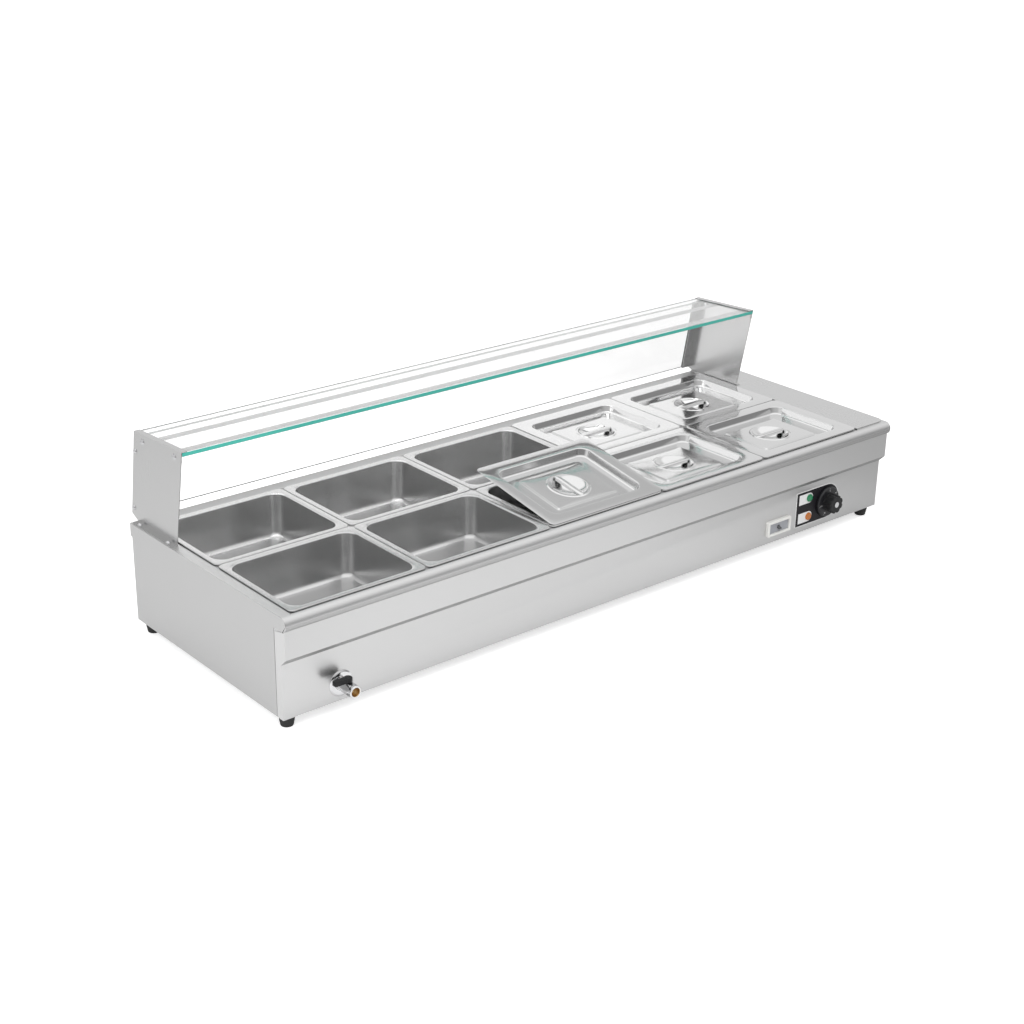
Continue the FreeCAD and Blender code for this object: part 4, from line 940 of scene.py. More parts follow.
@dataclass
class SidePanel:
    """Flat side sheet that stops just short of the front's flange, so that an open joint shows."""

    node: str
    joint: float = 1.3
    edge: float = 0.45
    corner: float = 0.6

    def build(self) -> None:
        """Make the sheet as a plate with rounded edges on its outer face."""
        box = box_mm(self.node)
        y0, y1 = box.low[1] + self.joint, box.high[1]
        rings = plate_rings((y1 - y0) / 2, box.half[2], self.corner, (0.0, box.size[0]), self.edge, steps=3)
        out, face = (1.0, box.low[0]) if box.low[0] > 0 else (-1.0, box.high[0])
        placed = np.stack([face + out * rings[..., 2], rings[..., 0] + (y0 + y1) / 2,
                           rings[..., 1] + box.middle[2]], axis=-1)
        Skin(self.node + "_form").solid(placed).build(
            [SIDE], "housing", (self.node,), "casing_steel", closed=True)


@dataclass
class FoldedSheet:
    """Sheet-metal part with finely rounded edges, so that its seams and folds catch the light."""

    node: str
    finish: Finish
    edge: float = 0.4
    flat: float = 0.5
    fold: float = 35.0
    underside: float = -0.5

    def build(self) -> None:
        """Copy the node's form, join its flat faces, paint shade on the faces that turn down and forward, and
        round the edges.
        """
        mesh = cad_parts[self.node].data.copy()
        mesh.name = self.node + "_form"
        with edited(mesh) as work:
            bmesh.ops.remove_doubles(work, verts=work.verts, dist=MERGE_REACH)
            bmesh.ops.dissolve_limit(work, angle_limit=math.radians(self.flat), verts=work.verts,
                                     edges=work.edges)
        mesh.shade_smooth()
        mesh.set_sharp_from_angle(angle=math.radians(self.fold))
        mesh.materials.clear()
        for finish in (self.finish, FOLD_SHADE_STEEL):
            mesh.materials.append(finish.material())
        # Faces that turn down and forward take the darker steel: painted shade in the fold.
        for face in mesh.polygons:
            face.material_index = int(max(face.normal.y, face.normal.z) < self.underside)
        piece = add_piece(mesh.name, mesh, "housing", (self.node,))
        round_edges(piece, self.edge, self.fold)


@dataclass
class Pan:
    """Deep-drawn pan with a flat rim."""

    node: str
    rim: float = 13.0
    sheet: float = 0.8
    lip: float = 2.7
    taper: float = 8.0
    floor_run: float = 60.0
    fillets: tuple[float, ...] = (1.0, 4.0, 13.0)
    corners: tuple[float, ...] = (12.0, 30.0, 24.0, 8.0)

    def build(self) -> None:
        """Make the pan from its lip over the rim and down to the floor.

        Each ring is the pan's outline, drawn in by the path's first number. The fillets round the lip, the
        rim's inner edge and the floor's. The corners are the outline's radii at the lip, the rim, the wall's
        foot and the path's end, with straight lines between them.
        """
        box = box_mm(self.node)
        bend, top, floor = self.rim + self.sheet, box.high[2], box.low[2] + self.sheet
        inset, level = rounded_path(
            [(0.0, top - self.lip), (0.0, top), (bend, top), (bend + self.taper, floor),
             (self.rim + self.taper + self.floor_run, floor)], list(self.fillets), steps=8).T
        knots = [0.0, bend, bend + self.taper, bend + self.taper + self.floor_run]
        corner = np.interp(inset, knots, self.corners)
        rings = stack(rounded_rings(box.half[0] - inset, box.half[1] - inset, corner), level)
        rings[..., :2] += box.middle[:2]
        Skin(self.node + "_form").add(rings, ends=(False, True)).build(
            [POLISHED], self.node, (self.node,), "pan_steel", wall=self.sheet * WALL_SHARE)


@dataclass
class Lid:
    """Pressed lid with a sunken floor, a raised plateau, a finger dish and its strap handle."""

    node: str
    handle: str
    base: float
    corner: Pair
    tilt: float = 0.0
    shift: Pair = (0.0, 0.0)
    size: Pair = (325.0, 265.0)
    sheet: float = 0.8
    seat_gap: float = 0.3
    flange: float = 30.0
    recess: float = 18.0
    wall_run: float = 5.0
    rim_corner: float = 12.0
    recess_corner: float = 26.0
    plateau: Triple = (176.0, 138.0, 5.0)
    rise: float = 3.2
    slope: float = 2.6
    step_place: float = 70.0
    brim_place: float = 110.0
    bead: float = 6.0
    bead_rise: float = 1.3
    bead_margin: float = 1.0
    dish: Pair = (45.0, 16.0)
    dish_lead: float = 2.5
    dish_end: float = 3.0
    fillets: tuple[float, ...] = (0.4, 2.5, 6.0, 0.6, 0.6, 1.5, 1.2, 1.2)
    strap: Triple = (98.0, 15.0, 2.0)
    crown: float = 1.8
    strap_end: float = 0.04
    strap_lift: float = 0.2
    skirt_inset: float = 8.0
    skirt_depth: float = 4.0
    skirt_corner: float = 0.9
    skirt_edge: float = 0.3

    @property
    def level(self) -> float:
        """Height of the plateau."""
        return self.base + self.sheet - self.recess + self.rise

    def placed(self, points: Array) -> Array:
        """Move points to the lid's place on the pan, tilted about its front edge if it lies loose.

        Args:
            points: Points about the lid's centre.

        Returns:
            The moved points.
        """
        middle = np.array(self.corner) + np.array(self.size) / 2 + np.array(self.shift)
        moved = points + np.array([*middle, 0.0])
        pivot = np.array([0.0, self.corner[1] + self.shift[1], self.base])
        return turned_about_x(moved, pivot, self.tilt) if self.tilt else moved

    def sheet_rings(self) -> Array:
        """Return the rings from the outer edge to the middle of the dish.

        The section goes over the flange, down to the floor, up to the plateau and its bead, and down the
        dish, which is part of a ball. A ring is a rounded rectangle: its half width, half depth and corner
        follow straight lines between the rows of the table, whose first number is the place along the
        section.

        Returns:
            Rings of points about the lid's centre.
        """
        top, level = self.base + self.sheet, self.level
        floor, crest = top - self.recess, level + self.bead_rise
        radius, depth = self.dish
        foot = self.flange + self.sheet + self.wall_run
        step, brim = self.step_place, self.brim_place
        ball = (radius ** 2 + depth ** 2) / (2 * depth)
        bowl = np.linspace(radius - self.dish_lead, self.dish_end, 16)
        sunk = level - depth + ball - np.sqrt(ball ** 2 - bowl ** 2)
        path = rounded_path(
            [(0.0, self.base), (0.0, top), (self.flange + self.sheet, top), (foot, floor), (step, floor),
             (step + self.slope, level), (brim - self.bead, level), (brim - self.bead / 2, crest),
             (brim, crest), (brim + self.dish_lead, sunk[0])], list(self.fillets), steps=7)
        run = np.concatenate([path[:, 0], brim + radius - bowl[1:]])
        height = np.concatenate([path[:, 1], sunk[1:]])
        half = np.array(self.size) / 2
        length, width, bevel = self.plateau
        ring = radius + self.bead + self.bead_margin
        table = np.array([
            (0.0, *half, self.rim_corner),
            (self.flange, *(half - self.flange), self.recess_corner),
            (foot, *(half - foot), self.recess_corner - self.wall_run),
            (step, length / 2, width / 2, bevel),
            (step + self.slope, length / 2 - self.slope, width / 2 - self.slope, bevel - 1.0),
            (brim - self.bead - self.bead_margin, ring, ring, ring),
            (brim, radius, radius, radius),
            (brim + radius, 0.0, 0.0, 0.0)])
        a, b, corner = (np.interp(run, table[:, 0], column) for column in table[:, 1:].T)
        return stack(rounded_rings(a, b, corner, steps=18), height)

    def strap_rings(self) -> Array:
        """Return the rings of the strap: flat underneath, crowned on top, thin at its ends.

        At the share s of its half length, the crown is the root of 1 - s^6 high and the strap is the root of
        1 - 0.96 s^8 wide. A ring is the upper half of an oval: cos(t)^0.7 across and sin(t)^0.8 up.

        Returns:
            Rings of points about the lid's centre.
        """
        length, width, thick = self.strap
        share = np.linspace(-1.0, 1.0, 25)
        arch = np.sqrt(np.maximum(1.0 - share ** 6, 0.0))
        turn = np.linspace(0.0, 2 * math.pi, 28, endpoint=False)
        across, up = np.cos(turn), np.sin(turn)
        taper = np.maximum(1.0 - (1.0 - self.strap_end) * np.abs(share) ** 8, self.strap_end)
        y = (width / 2) * np.sqrt(taper)[:, None] * np.sign(across) * np.abs(across) ** 0.7
        z = self.level + self.strap_lift + (thick + self.crown) * arch[:, None] * np.maximum(up, 0.0) ** 0.8
        return np.stack(np.broadcast_arrays(share[:, None] * length / 2, y, z), axis=-1)

    def build(self) -> None:
        """Make the lid, and its strap with a skirt along each side."""
        Skin(self.node + "_form").add(self.placed(self.sheet_rings()), ends=(False, True)).build(
            [PRESSED], self.node, (self.node,), "pan_steel", wall=self.sheet * WALL_SHARE, sharp=50.0)
        _, width, thick = self.strap
        skirt = plate_rings(self.dish[0] - self.skirt_inset, thick / 2, self.skirt_corner,
                            (self.level - self.skirt_depth, self.level + thick / 2), self.skirt_edge, steps=4)
        strap = Skin(self.handle + "_form")
        for rings, side in ((self.strap_rings(), 0.0), (skirt, -1.0), (skirt, 1.0)):
            rings = rings + np.array([0.0, side * (width - thick) / 2, 0.0])
            if self.tilt:
                rings = np.stack([-rings[..., 1], rings[..., 0], rings[..., 2]], axis=-1)
            strap.solid(self.placed(rings))
        strap.build([PRESSED], self.node, (self.handle,), "pan_steel", closed=True)


LOOSE_LID = "lid_front_3"
LOOSE_TILT = 10.0
LOOSE_SHIFT = (3.0, 4.0)


def build_lids() -> None:
    """Make every lid over its pan; one lies loose, shifted and tilted about its front edge."""
    for node in sorted(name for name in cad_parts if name.startswith("lid_") and "handle" not in name):
        pan = box_mm(node.replace("lid", "pan"))
        lid = Lid(node, node.replace("lid", "lid_handle"), pan.high[2] + Lid.seat_gap, tuple(pan.low[:2]))
        if node == LOOSE_LID:
            lid.tilt, lid.shift = LOOSE_TILT, LOOSE_SHIFT
        lid.build()


@dataclass
class Digits:
    """Flat printed numbers, turned into meshes from the built-in font."""

    name: str
    size: float = 5.2
    lift: float = 0.03

    def build(self, words: list[tuple[str, float, float]], origin: Triple, finish: Finish, body: str,
              slot: str) -> None:
        """Print words on a plane that faces the front.

        Args:
            words: Text with its place, right and up of the origin.
            origin: A point on the plane.
            finish: Finish of the print.
            body: Name of the CAD body that carries it.
            slot: Material slot of the record; not used.
        """
        print_mesh = bpy.data.meshes.new(self.name)
        with edited(print_mesh) as work:
            for text, right, up in words:
                curve = bpy.data.curves.new(self.name, "FONT")
                curve.body = text
                curve.size = self.size * MM
                curve.align_x = curve.align_y = "CENTER"
                holder = bpy.data.objects.new(self.name, curve)
                bpy.context.scene.collection.objects.link(holder)
                bpy.context.view_layer.update()
                mesh = bpy.data.meshes.new_from_object(holder)
                bpy.data.objects.remove(holder)
                place = Vector((origin[0] + right, origin[1] - self.lift, origin[2] + up)) * MM
                mesh.transform(Matrix.Translation(place) @ Matrix.Rotation(math.pi / 2, 4, "X"))
                work.from_mesh(mesh)
                bpy.data.meshes.remove(mesh)
        print_mesh.materials.append(finish.material())
        add_piece(self.name, print_mesh, body, ())


@dataclass
class ControlPanel:
    """Label plate, two lamps and the temperature knob."""

    plate_face: float = 0.7
    plate_edge: float = 0.25
    plate_bend: float = 4.0
    plate_points: int = 49
    outline_width: float = 1.8
    tab_start: float = 10.0
    tab_half: float = 13.0
    tab_points: int = 25
    tab_levels: Pair = (-0.2, 0.08)
    lens_rise: float = 4.0
    lens_side: float = 3.0
    lens_dome: Pair = (2.2, 0.05)
    lens_stem: Pair = (6.0, 10.0)
    lens_roughness: float = 0.12
    lens_colors: tuple[tuple[str, Triple, str], ...] = (
        ("power_lamp", (0.004, 0.20, 0.075), "green_lens"), ("heat_lamp", (0.50, 0.15, 0.02), "amber_lens"))
    print_sink: float = 0.06
    skirt_bevel: float = 3.0
    flute_radius: float = 5.0
    flute_offset: float = 2.25
    flute_count: int = 8
    flute_foot: float = 3.0
    flute_ease: Triple = (0.6, 0.5, 0.6)
    flute_smoothing: int = 9
    grip_points: int = 240
    grip_edge: float = 1.8
    grip_face: float = 4.0
    skirt_core: Pair = (0.6, 1.0)
    cap_slope: Pair = (2.0, 0.1)
    cap_core: float = 0.3
    scale_radius: float = 29.0
    scale_words: tuple[str, ...] = ("0", "30", "50", "70", "90", "110")
    scale_step: float = 52.0
    tick_reach: Pair = (1.9, 0.1)
    tick_half: float = 0.35
    tick_levels: Pair = (-0.05, 0.03)

    def build(self) -> None:
        """Make all pieces."""
        self.build_plate()
        self.build_lamps()
        self.build_knob()

    def plate_ring(self, inset: float, left: float, radius: float) -> Array:
        """Return the D-shaped outline about the knob's axis: a half circle, and two small bends on the left.

        Args:
            inset: How far the outline is drawn in.
            left: Place of its left end.
            radius: Radius of its round end, and half of its height.

        Returns:
            One ring of (right, up) points.
        """
        angle = np.linspace(-math.pi / 2, math.pi / 2, self.plate_points)
        arc = (radius - inset) * np.stack([np.cos(angle), np.sin(angle)], axis=1)
        turn = np.linspace(0.0, math.pi / 2, 6)
        bend = self.plate_bend - inset
        upper = np.stack([left + self.plate_bend - bend * np.sin(turn),
                          radius - self.plate_bend + bend * np.cos(turn)], axis=1)
        return np.concatenate([arc, upper, upper[::-1] * np.array([1.0, -1.0])])

    def tab_rings(self, lamp_x: float, start: float) -> Array:
        """Return the rings of a thin white tab with one round end.

        Args:
            lamp_x: Place of the lamp, which is the centre of the round end.
            start: Place of the straight end.

        Returns:
            Rings from below the plate's face to just above it.
        """
        angle = np.linspace(-math.pi / 2, math.pi / 2, self.tab_points)
        arc = self.tab_half * np.stack([np.cos(angle), np.sin(angle)], axis=1) + np.array([lamp_x, 0.0])
        flat = np.concatenate([arc, [[start, self.tab_half], [start, -self.tab_half]]])
        below, above = self.tab_levels
        return raised(flat, (self.plate_face + below, self.plate_face + above))

    def build_plate(self) -> None:
        """Make the plate with its white outline and the two white tabs behind the lamps."""
        plate = box_mm("control_fascia")
        x = box_mm("knob_cap").middle[0]
        left = plate.low[0] - x
        face = self.plate_face
        rows = np.array([(0.0, 0.0), (0.0, face - self.plate_edge), (self.plate_edge, face),
                         (self.outline_width, face)])
        outlines = np.stack([self.plate_ring(inset, left, plate.half[2]) for inset in rows[:, 0]])
        skin = Skin("control_fascia_form")
        rings = stack(outlines, rows[:, 1])
        skin.solid(facing_front(rings, (x, plate.high[1], plate.middle[2])), slot=1, end_slot=0)
        for node, _, _ in self.lens_colors:
            lamp = box_mm(node)
            tab = self.tab_rings(box_mm("power_lamp").middle[0] - x, left + self.tab_start)
            skin.solid(facing_front(tab, (x, plate.high[1], lamp.middle[2])), slot=1)
        skin.build([PLATE_BLACK, PRINT_WHITE], "housing", ("control_fascia",), "fascia_black")

    def build_lamps(self) -> None:
        """Make the two domed lenses."""
        for node, color, slot in self.lens_colors:
            lamp = box_mm(node)
            radius, rise = lamp.half[0], self.lens_rise
            (inward, droop), (stem, back) = self.lens_dome, self.lens_stem
            path = rounded_path([(stem, -back), (stem, 0.0), (radius, 0.0), (radius, self.lens_side),
                                 (radius - inward, rise - droop), (1.0, rise)], [0.05, 0.2, 0.8, 1.0])
            origin = (lamp.middle[0], lamp.low[1] + rise, lamp.middle[2])
            lens = Lens(node + " lens", color, self.lens_roughness, (lamp.middle[0], lamp.middle[2]))
            Skin(node + "_form").solid(facing_front(turned_rings(path, count=48), origin)).build(
                [lens], "housing", (node,), slot)

    def grip_rings(self, radius: float, length: float) -> Array:
        """Return the fluted grip's rings, from its foot to its rounded face.

        A flute is part of a circle about a centre outside the grip. At the angle t off the flute's middle
        its wall stands at reach * cos(t) - sqrt(flute_radius^2 - (reach * sin(t))^2), and a moving mean
        rounds its edges. Near the foot the flutes run out over a short step.

        Args:
            radius: Radius of the grip.
            length: Its length.

        Returns:
            Rings of (right, up, out) points.
        """
        angle = ring_angles(self.grip_points)
        pitch = 2 * math.pi / self.flute_count
        off = (angle + pitch / 2) % pitch - pitch / 2
        reach = radius + self.flute_offset
        under = self.flute_radius ** 2 - (reach * np.sin(off)) ** 2
        fluted = reach * np.cos(off) - np.sqrt(np.maximum(under, 0.0))
        hollow = np.where(under > 0.0, np.minimum(fluted, radius), radius)
        kernel = np.hanning(self.flute_smoothing)
        wrapped = np.pad(hollow, self.flute_smoothing // 2, mode="wrap")
        hollow = np.convolve(wrapped, kernel / kernel.sum(), "valid")
        path = rounded_path([(0.0, 0.0), (0.0, length), (self.grip_face, length)], [self.grip_edge])[1:]
        step, inward, part = self.flute_ease
        foot = [(0.0, 0.0, 0.0), (0.0, self.flute_foot - step, 0.0), (inward, self.flute_foot, part)]
        inset, height, share = np.concatenate([foot, np.column_stack([path, np.ones(len(path))])]).T
        rim = radius + (hollow - radius) * share[:, None] - inset[:, None]
        return stack(np.stack([rim * np.cos(angle), rim * np.sin(angle)], axis=-1), height)

    def build_knob(self) -> None:
        """Make the dial skirt with its numbers and strokes, the grip and the bright cap."""
        skirt = box_mm("dial_skirt")
        x, back, z = skirt.back
        radius, face = skirt.half[0], skirt.size[1] - self.print_sink
        inner, outer = self.skirt_core
        path = rounded_path([(inner, 0.0), (radius, 0.0), (radius, face - self.skirt_bevel),
                             (radius - self.skirt_bevel, face), (outer, face)], [0.5, 0.5, 0.5], steps=5)
        Skin("dial_skirt_form").solid(facing_front(turned_rings(path, count=96), (x, back, z))).build(
            [DIAL_GREY], "temperature_knob", ("dial_skirt",), "knob_black")
        words, ticks = [], Skin("dial_ticks")
        for index, word in enumerate(self.scale_words):
            angle = math.radians(90.0 - index * self.scale_step)
            words.append((word, self.scale_radius * math.cos(angle), self.scale_radius * math.sin(angle)))
            self.add_tick(ticks, angle, radius - self.skirt_bevel, (x, back - face, z))
        Digits("dial_numbers").build(words, (x, back - face, z), PRINT_WHITE, "temperature_knob",
                                     "knob_black")
        ticks.build([PRINT_WHITE], "temperature_knob", (), "knob_black")
        grip = box_mm("knob_grip")
        rings = self.grip_rings(grip.half[0], grip.size[1])
        Skin("knob_grip_form").solid(facing_front(rings, (x, grip.high[1], z))).build(
            [KNOB_BLACK], "temperature_knob", ("knob_grip",), "knob_black")
        cap = box_mm("knob_cap")
        wide, tall = cap.half[0], cap.size[1]
        inward, droop = self.cap_slope
        path = rounded_path([(wide, 0.0), (wide, tall - droop), (wide - inward, tall), (self.cap_core, tall)],
                            [0.4, 0.8], steps=5)
        Skin("knob_cap_form").solid(facing_front(turned_rings(path, count=48), (x, cap.high[1], z))).build(
            [CHROME], "temperature_knob", ("knob_cap",), "bright_chrome")

    def add_tick(self, ticks: Skin, angle: float, radius: float, origin: Triple) -> None:
        """Add a short printed stroke at the skirt's edge.

        Args:
            ticks: The piece that holds the strokes.
            angle: Direction of the stroke from the knob's axis.
            radius: Radius of the skirt's flat face.
            origin: Centre of that face.
        """
        along = np.array([math.cos(angle), math.sin(angle)])
        side = np.array([-along[1], along[0]]) * self.tick_half
        inner, outer = (along * (radius - reach) for reach in self.tick_reach)
        flat = np.array([inner - side, outer - side, outer + side, inner + side])
        ticks.solid(facing_front(raised(flat, self.tick_levels), origin))


@dataclass
class Breaker:
    """Plastic surround with its recessed plate and the toggle."""

    border: float = 6.0
    well: float = 1.0
    fillets: tuple[float, ...] = (1.9, 0.8)
    corners: Pair = (3.0, 1.0)
    barrel: Pair = (3.45, 3.2)
    barrel_ends: Pair = (0.02, 0.3)
    pivot_depth: float = 3.5
    stick: Triple = (11.4, 1.95, 0.8)
    stick_edge: float = 0.7
    stick_gap: float = 0.1
    toggle_tilt: float = 20.0

    def build(self) -> None:
        """Make the surround and the toggle; the plate is the CAD's own."""
        box = box_mm("breaker_frame")
        rise = box.size[1]
        inset, level = rounded_path([(0.0, 0.0), (0.0, rise), (self.border, rise), (self.border, self.well)],
                                    list(self.fillets)).T
        corner = np.interp(inset, [0.0, self.border], self.corners)
        rings = stack(rounded_rings(box.half[0] - inset, box.half[2] - inset, corner, steps=6), level)
        Skin("breaker_frame_form").add(facing_front(rings, box.back)).build(
            [CREAM], "housing", ("breaker_frame",), "cream_plastic")
        self.build_toggle(box_mm("breaker_toggle"), box.middle[2])

    def build_toggle(self, box: Box, pivot_z: float) -> None:
        """Make the toggle: a barrel with a tapered stick tipped down.

        Args:
            box: Box of the toggle.
            pivot_z: Height of its axis.
        """
        x, half = box.middle[0], box.half[0]
        pivot = np.array([0.0, box.high[1] - self.pivot_depth, pivot_z])
        radius, end = self.barrel
        skin = Skin("breaker_toggle_form")
        near, far = self.barrel_ends
        path = rounded_path([(end, near - half), (radius, far - half), (radius, half - far),
                             (end, half - near)], [0.1, 0.1], steps=4)
        rings = turned_rings(path, count=32)
        skin.solid(np.stack([rings[..., 2] + x, rings[..., 0] + pivot[1], rings[..., 1] + pivot[2]], axis=-1))
        length, thick, corner = self.stick
        stick = plate_rings(half - self.stick_gap, thick, corner, (0.0, length), self.stick_edge, steps=6)
        stick = np.stack([stick[..., 0] + x, pivot[1] - stick[..., 2], stick[..., 1] + pivot[2]], axis=-1)
        skin.solid(turned_about_x(stick, pivot, self.toggle_tilt))
        skin.build([GREY], "breaker_lever", ("breaker_toggle",), "grey_plastic", closed=True)


@dataclass
class DrainTap:
    """Cover plate, threaded body and lever of the drain valve."""

    cover_rim: float = 1.1
    cover_slope: Pair = (3.5, 0.1)
    cover_collar: Triple = (15.0, 14.0, 12.6)
    cover_step: float = 0.6
    neck: float = 12.5
    mouth: float = 13.5
    hex_across: float = 25.0
    hex_start: float = 8.0
    hex_length: float = 30.0
    hex_blunt: float = 0.25
    hex_circles: Triple = (13.2, 14.6, 13.3)
    hex_chamfer: float = 0.9
    crease: float = 0.01
    lip_foot: float = 12.7
    lip_rise: float = 1.1
    lip_edge: float = 1.0
    bore: float = 9.35
    bore_rim: float = 9.9
    bore_chamfer: float = 0.6
    bore_depth: float = 30.0
    seat: float = 8.0
    points: int = 96
    lever: Pair = (34.0, 15.0)
    lever_corner: float = 5.0
    lever_edge: float = 2.2
    hub: float = 9.0

    def build(self) -> None:
        """Make the three pieces."""
        cover = box_mm("valve_escutcheon")
        self.build_cover(cover)
        self.build_body(cover)
        self.build_lever()

    def build_cover(self, box: Box) -> None:
        """Make the domed cover plate.

        Args:
            box: Box of the cover plate.
        """
        radius, thick = box.half[0], box.size[1]
        (inward, droop), (outer, inner, hole) = self.cover_slope, self.cover_collar
        sunk = thick - self.cover_step
        path = rounded_path([(radius, 0.0), (radius, self.cover_rim), (radius - inward, thick - droop),
                             (outer, thick), (inner, sunk), (hole, sunk), (hole, 0.0)],
                            [0.3, 3.0, 0.8, 0.3, 0.2])
        Skin("valve_escutcheon_form").add(facing_front(turned_rings(path, count=80), box.back)).build(
            [CHROME], "housing", ("valve_escutcheon",), "bright_chrome")

    def build_body(self, cover: Box) -> None:
        """Make the neck, the hexagon, the mouth and its brass inside.

        Each row of the outside is a radius, a place along the body and 1 where the hexagon cuts the circle.
        The hexagon's wall stands at half its width / cos(angle off the face), with blunt corners.

        Args:
            cover: Box of the cover plate, whose axis is the body's.
        """
        body = box_mm("valve_body")
        origin = (cover.middle[0], body.high[1], cover.middle[2])
        length = body.size[1]
        start, end = self.hex_start, self.hex_start + self.hex_length
        angle = ring_angles(self.points)
        sector = (angle + math.pi / 6 - math.pi / 2) % (math.pi / 3) - math.pi / 6
        half = self.hex_across / 2
        hexagon = np.minimum(half / np.cos(sector), half / math.cos(math.pi / 6) - self.hex_blunt)
        lip = rounded_path([(self.lip_foot, end), (self.mouth, end + self.lip_rise),
                            (self.mouth, length - self.lip_edge), (self.mouth - self.lip_edge, length),
                            (self.bore_rim, length)], [0.4, 0.3, 0.4], steps=5)
        first, full, last = self.hex_circles
        hexed = [(self.neck, 0.0, 0), (self.neck, start, 0), (first, start + self.crease, 1),
                 (full, start + self.hex_chamfer, 1), (full, end - self.hex_chamfer, 1),
                 (last, end - self.crease, 1)]
        radii, heights, flat = np.concatenate([hexed, np.column_stack([lip, np.zeros(len(lip))])]).T
        reach = np.where(flat[:, None] == 1, np.minimum(hexagon, radii[:, None]), radii[:, None])
        rings = stack(np.stack([reach * np.cos(angle), reach * np.sin(angle)], axis=-1), heights)
        inside = rounded_path([(self.bore_rim, length), (self.bore, length - self.bore_chamfer),
                               (self.bore, self.bore_depth), (self.seat, self.bore_depth - 1.0)],
                              [0.3, 0.3], steps=5)
        skin = Skin("valve_body_form")
        skin.add(facing_front(rings, origin), ends=(True, False))
        skin.add(facing_front(turned_rings(inside, self.points), origin), slot=1)
        skin.build([CHROME, BRASS], "housing", ("valve_body",), "bright_chrome")

    def build_lever(self) -> None:
        """Make the plastic lever that lies to the left."""
        box = box_mm("valve_lever")
        length, width = self.lever
        x, y, top = box.high[0] - self.hub, box.middle[1], box.high[2]
        arm = plate_rings(length / 2, width / 2 - 0.05, self.lever_corner, (box.low[2], top - 0.1),
                          self.lever_edge, steps=10)
        hub = rounded_path([(self.hub, box.low[2] + 0.02), (self.hub, top), (self.hub - 4.0, top)],
                           [self.lever_edge])
        skin = Skin("valve_lever_form").solid(arm + np.array([x - length / 2, y, 0.0]))
        skin.solid(turned_rings(hub, count=48) + np.array([x, y, 0.0]))
        skin.build([KNOB_BLACK], "drain_lever", ("valve_lever",), "knob_black", closed=True)


@dataclass
class Feet:
    """Four tapered rubber feet."""

    top_radius: float = 18.0
    bottom_radius: float = 13.0
    height: float = 27.0
    core: float = 0.5

    def build(self) -> None:
        """Make the feet under the corners of the casing."""
        box = box_mm("rubber_feet")
        foot = rounded_path([(self.core, 0.0), (self.bottom_radius, 0.0),
                             (self.top_radius, self.height - 0.02), (self.core, self.height)], [2.5, 0.5])
        skin = Skin("rubber_feet_form")
        for x in (box.low[0] + self.top_radius, box.high[0] - self.top_radius):
            for y in (box.low[1] + self.top_radius, box.high[1] - self.top_radius):
                skin.solid(turned_rings(foot, count=48) + np.array([x, y, 0.0]))
        skin.build([RUBBER], "housing", ("rubber_feet",), "rubber")


@dataclass
class GlassPane:
    """Pane of float glass with clear faces and green edges, taken from the CAD's box and lean."""

    node: str
    thickness: float
    edge: Finish
    rear_edge: Finish
    reflection_bands: tuple[Pair, ...] = ()
    band_levels: Pair = (0.1, 0.5)
    band_inset: float = 2.0
    bevel: float = 0.6
    corner: float = 1.5

    def section(self, points: Array) -> Array:
        """Return the four (y, z) corners of the pane's section, in order, from the start of a long side.

        Args:
            points: The CAD node's points.

        Returns:
            The corners, one per row.
        """
        corners = np.unique(np.round(points[:, 1:], 2), axis=0)
        away = corners - corners.mean(axis=0)
        corners = corners[np.argsort(np.arctan2(away[:, 1], away[:, 0]))]
        lengths = np.linalg.norm(np.roll(corners, -1, axis=0) - corners, axis=1)
        return np.roll(corners, -int(np.argmax(lengths)), axis=0)

    def build(self) -> None:
        """Make the pane as a plate with both edges rounded, laid along its section, and its grey bands of
        painted reflection.
        """
        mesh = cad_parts[self.node].data
        points = np.zeros(len(mesh.vertices) * 3, np.float32)
        mesh.vertices.foreach_get("co", points)
        points = points.reshape(-1, 3) / MM
        section = self.section(points)
        span = np.linalg.norm(section[1] - section[0])
        along = (section[1] - section[0]) / span
        across = (section[3] - section[0]) / self.thickness
        x0, x1 = points[:, 0].min(), points[:, 0].max()
        half_a, half_b = (x1 - x0) / 2, span / 2
        upper = plate_rings(half_a, half_b, self.corner, (0.0, self.thickness), self.bevel, steps=3)
        upper[0, :, 2] = self.bevel
        lowest = rounded_rings([half_a - self.bevel], [half_b - self.bevel], [1.0], steps=3)
        rings = np.concatenate([stack(lowest, [0.0]), upper])
        a, b, c = rings[..., 0], rings[..., 1] + half_b, rings[..., 2]
        grid = np.stack([a + (x0 + x1) / 2, section[0, 0] + along[0] * b + across[0] * c,
                         section[0, 1] + along[1] * b + across[1] * c], axis=-1)
        pane = Skin(self.node + "_form").solid(grid, slot=1, end_slot=0).build(
            [GLASS, self.edge, self.rear_edge], "housing", (self.node,), "guard_glass", closed=True)
        middle_y = section[:, 0].mean() * MM
        for face in pane.data.polygons:
            if face.material_index == 1 and face.center.y > middle_y:
                face.material_index = 2
        self.build_reflection_bands(section, (x0 + self.band_inset, x1 - self.band_inset))

    def build_reflection_bands(self, section: Array, reach: Pair) -> None:
        """Lay the grey bands under the pane, painted reflections seen through the glass, each from one
        distance to another behind its front edge.

        Args:
            section: Corners of the pane's section.
            reach: Their left and right end.
        """
        ends = section[np.argsort(section[:, 0])]
        front, rear = (pair[np.argmin(pair[:, 1])] for pair in (ends[:2], ends[2:]))
        along = (rear - front) / np.linalg.norm(rear - front)
        down = np.array([along[1], -along[0]])
        top, bottom = self.band_levels
        for number, (near, far) in enumerate(self.reflection_bands):
            outline = np.array([front + along * b + down * c for b, c in
                                ((near, top), (near, bottom), (far, bottom), (far, top))])
            # Each band is a painted reflection, drawn as a thin grey strip under the glass.
            Skin(f"{self.node}_reflection_band_{number}").solid(along_x(outline, reach)).build(
                [REFLECTION_BAND_GREY], "housing", (), "guard_glass", closed=True)


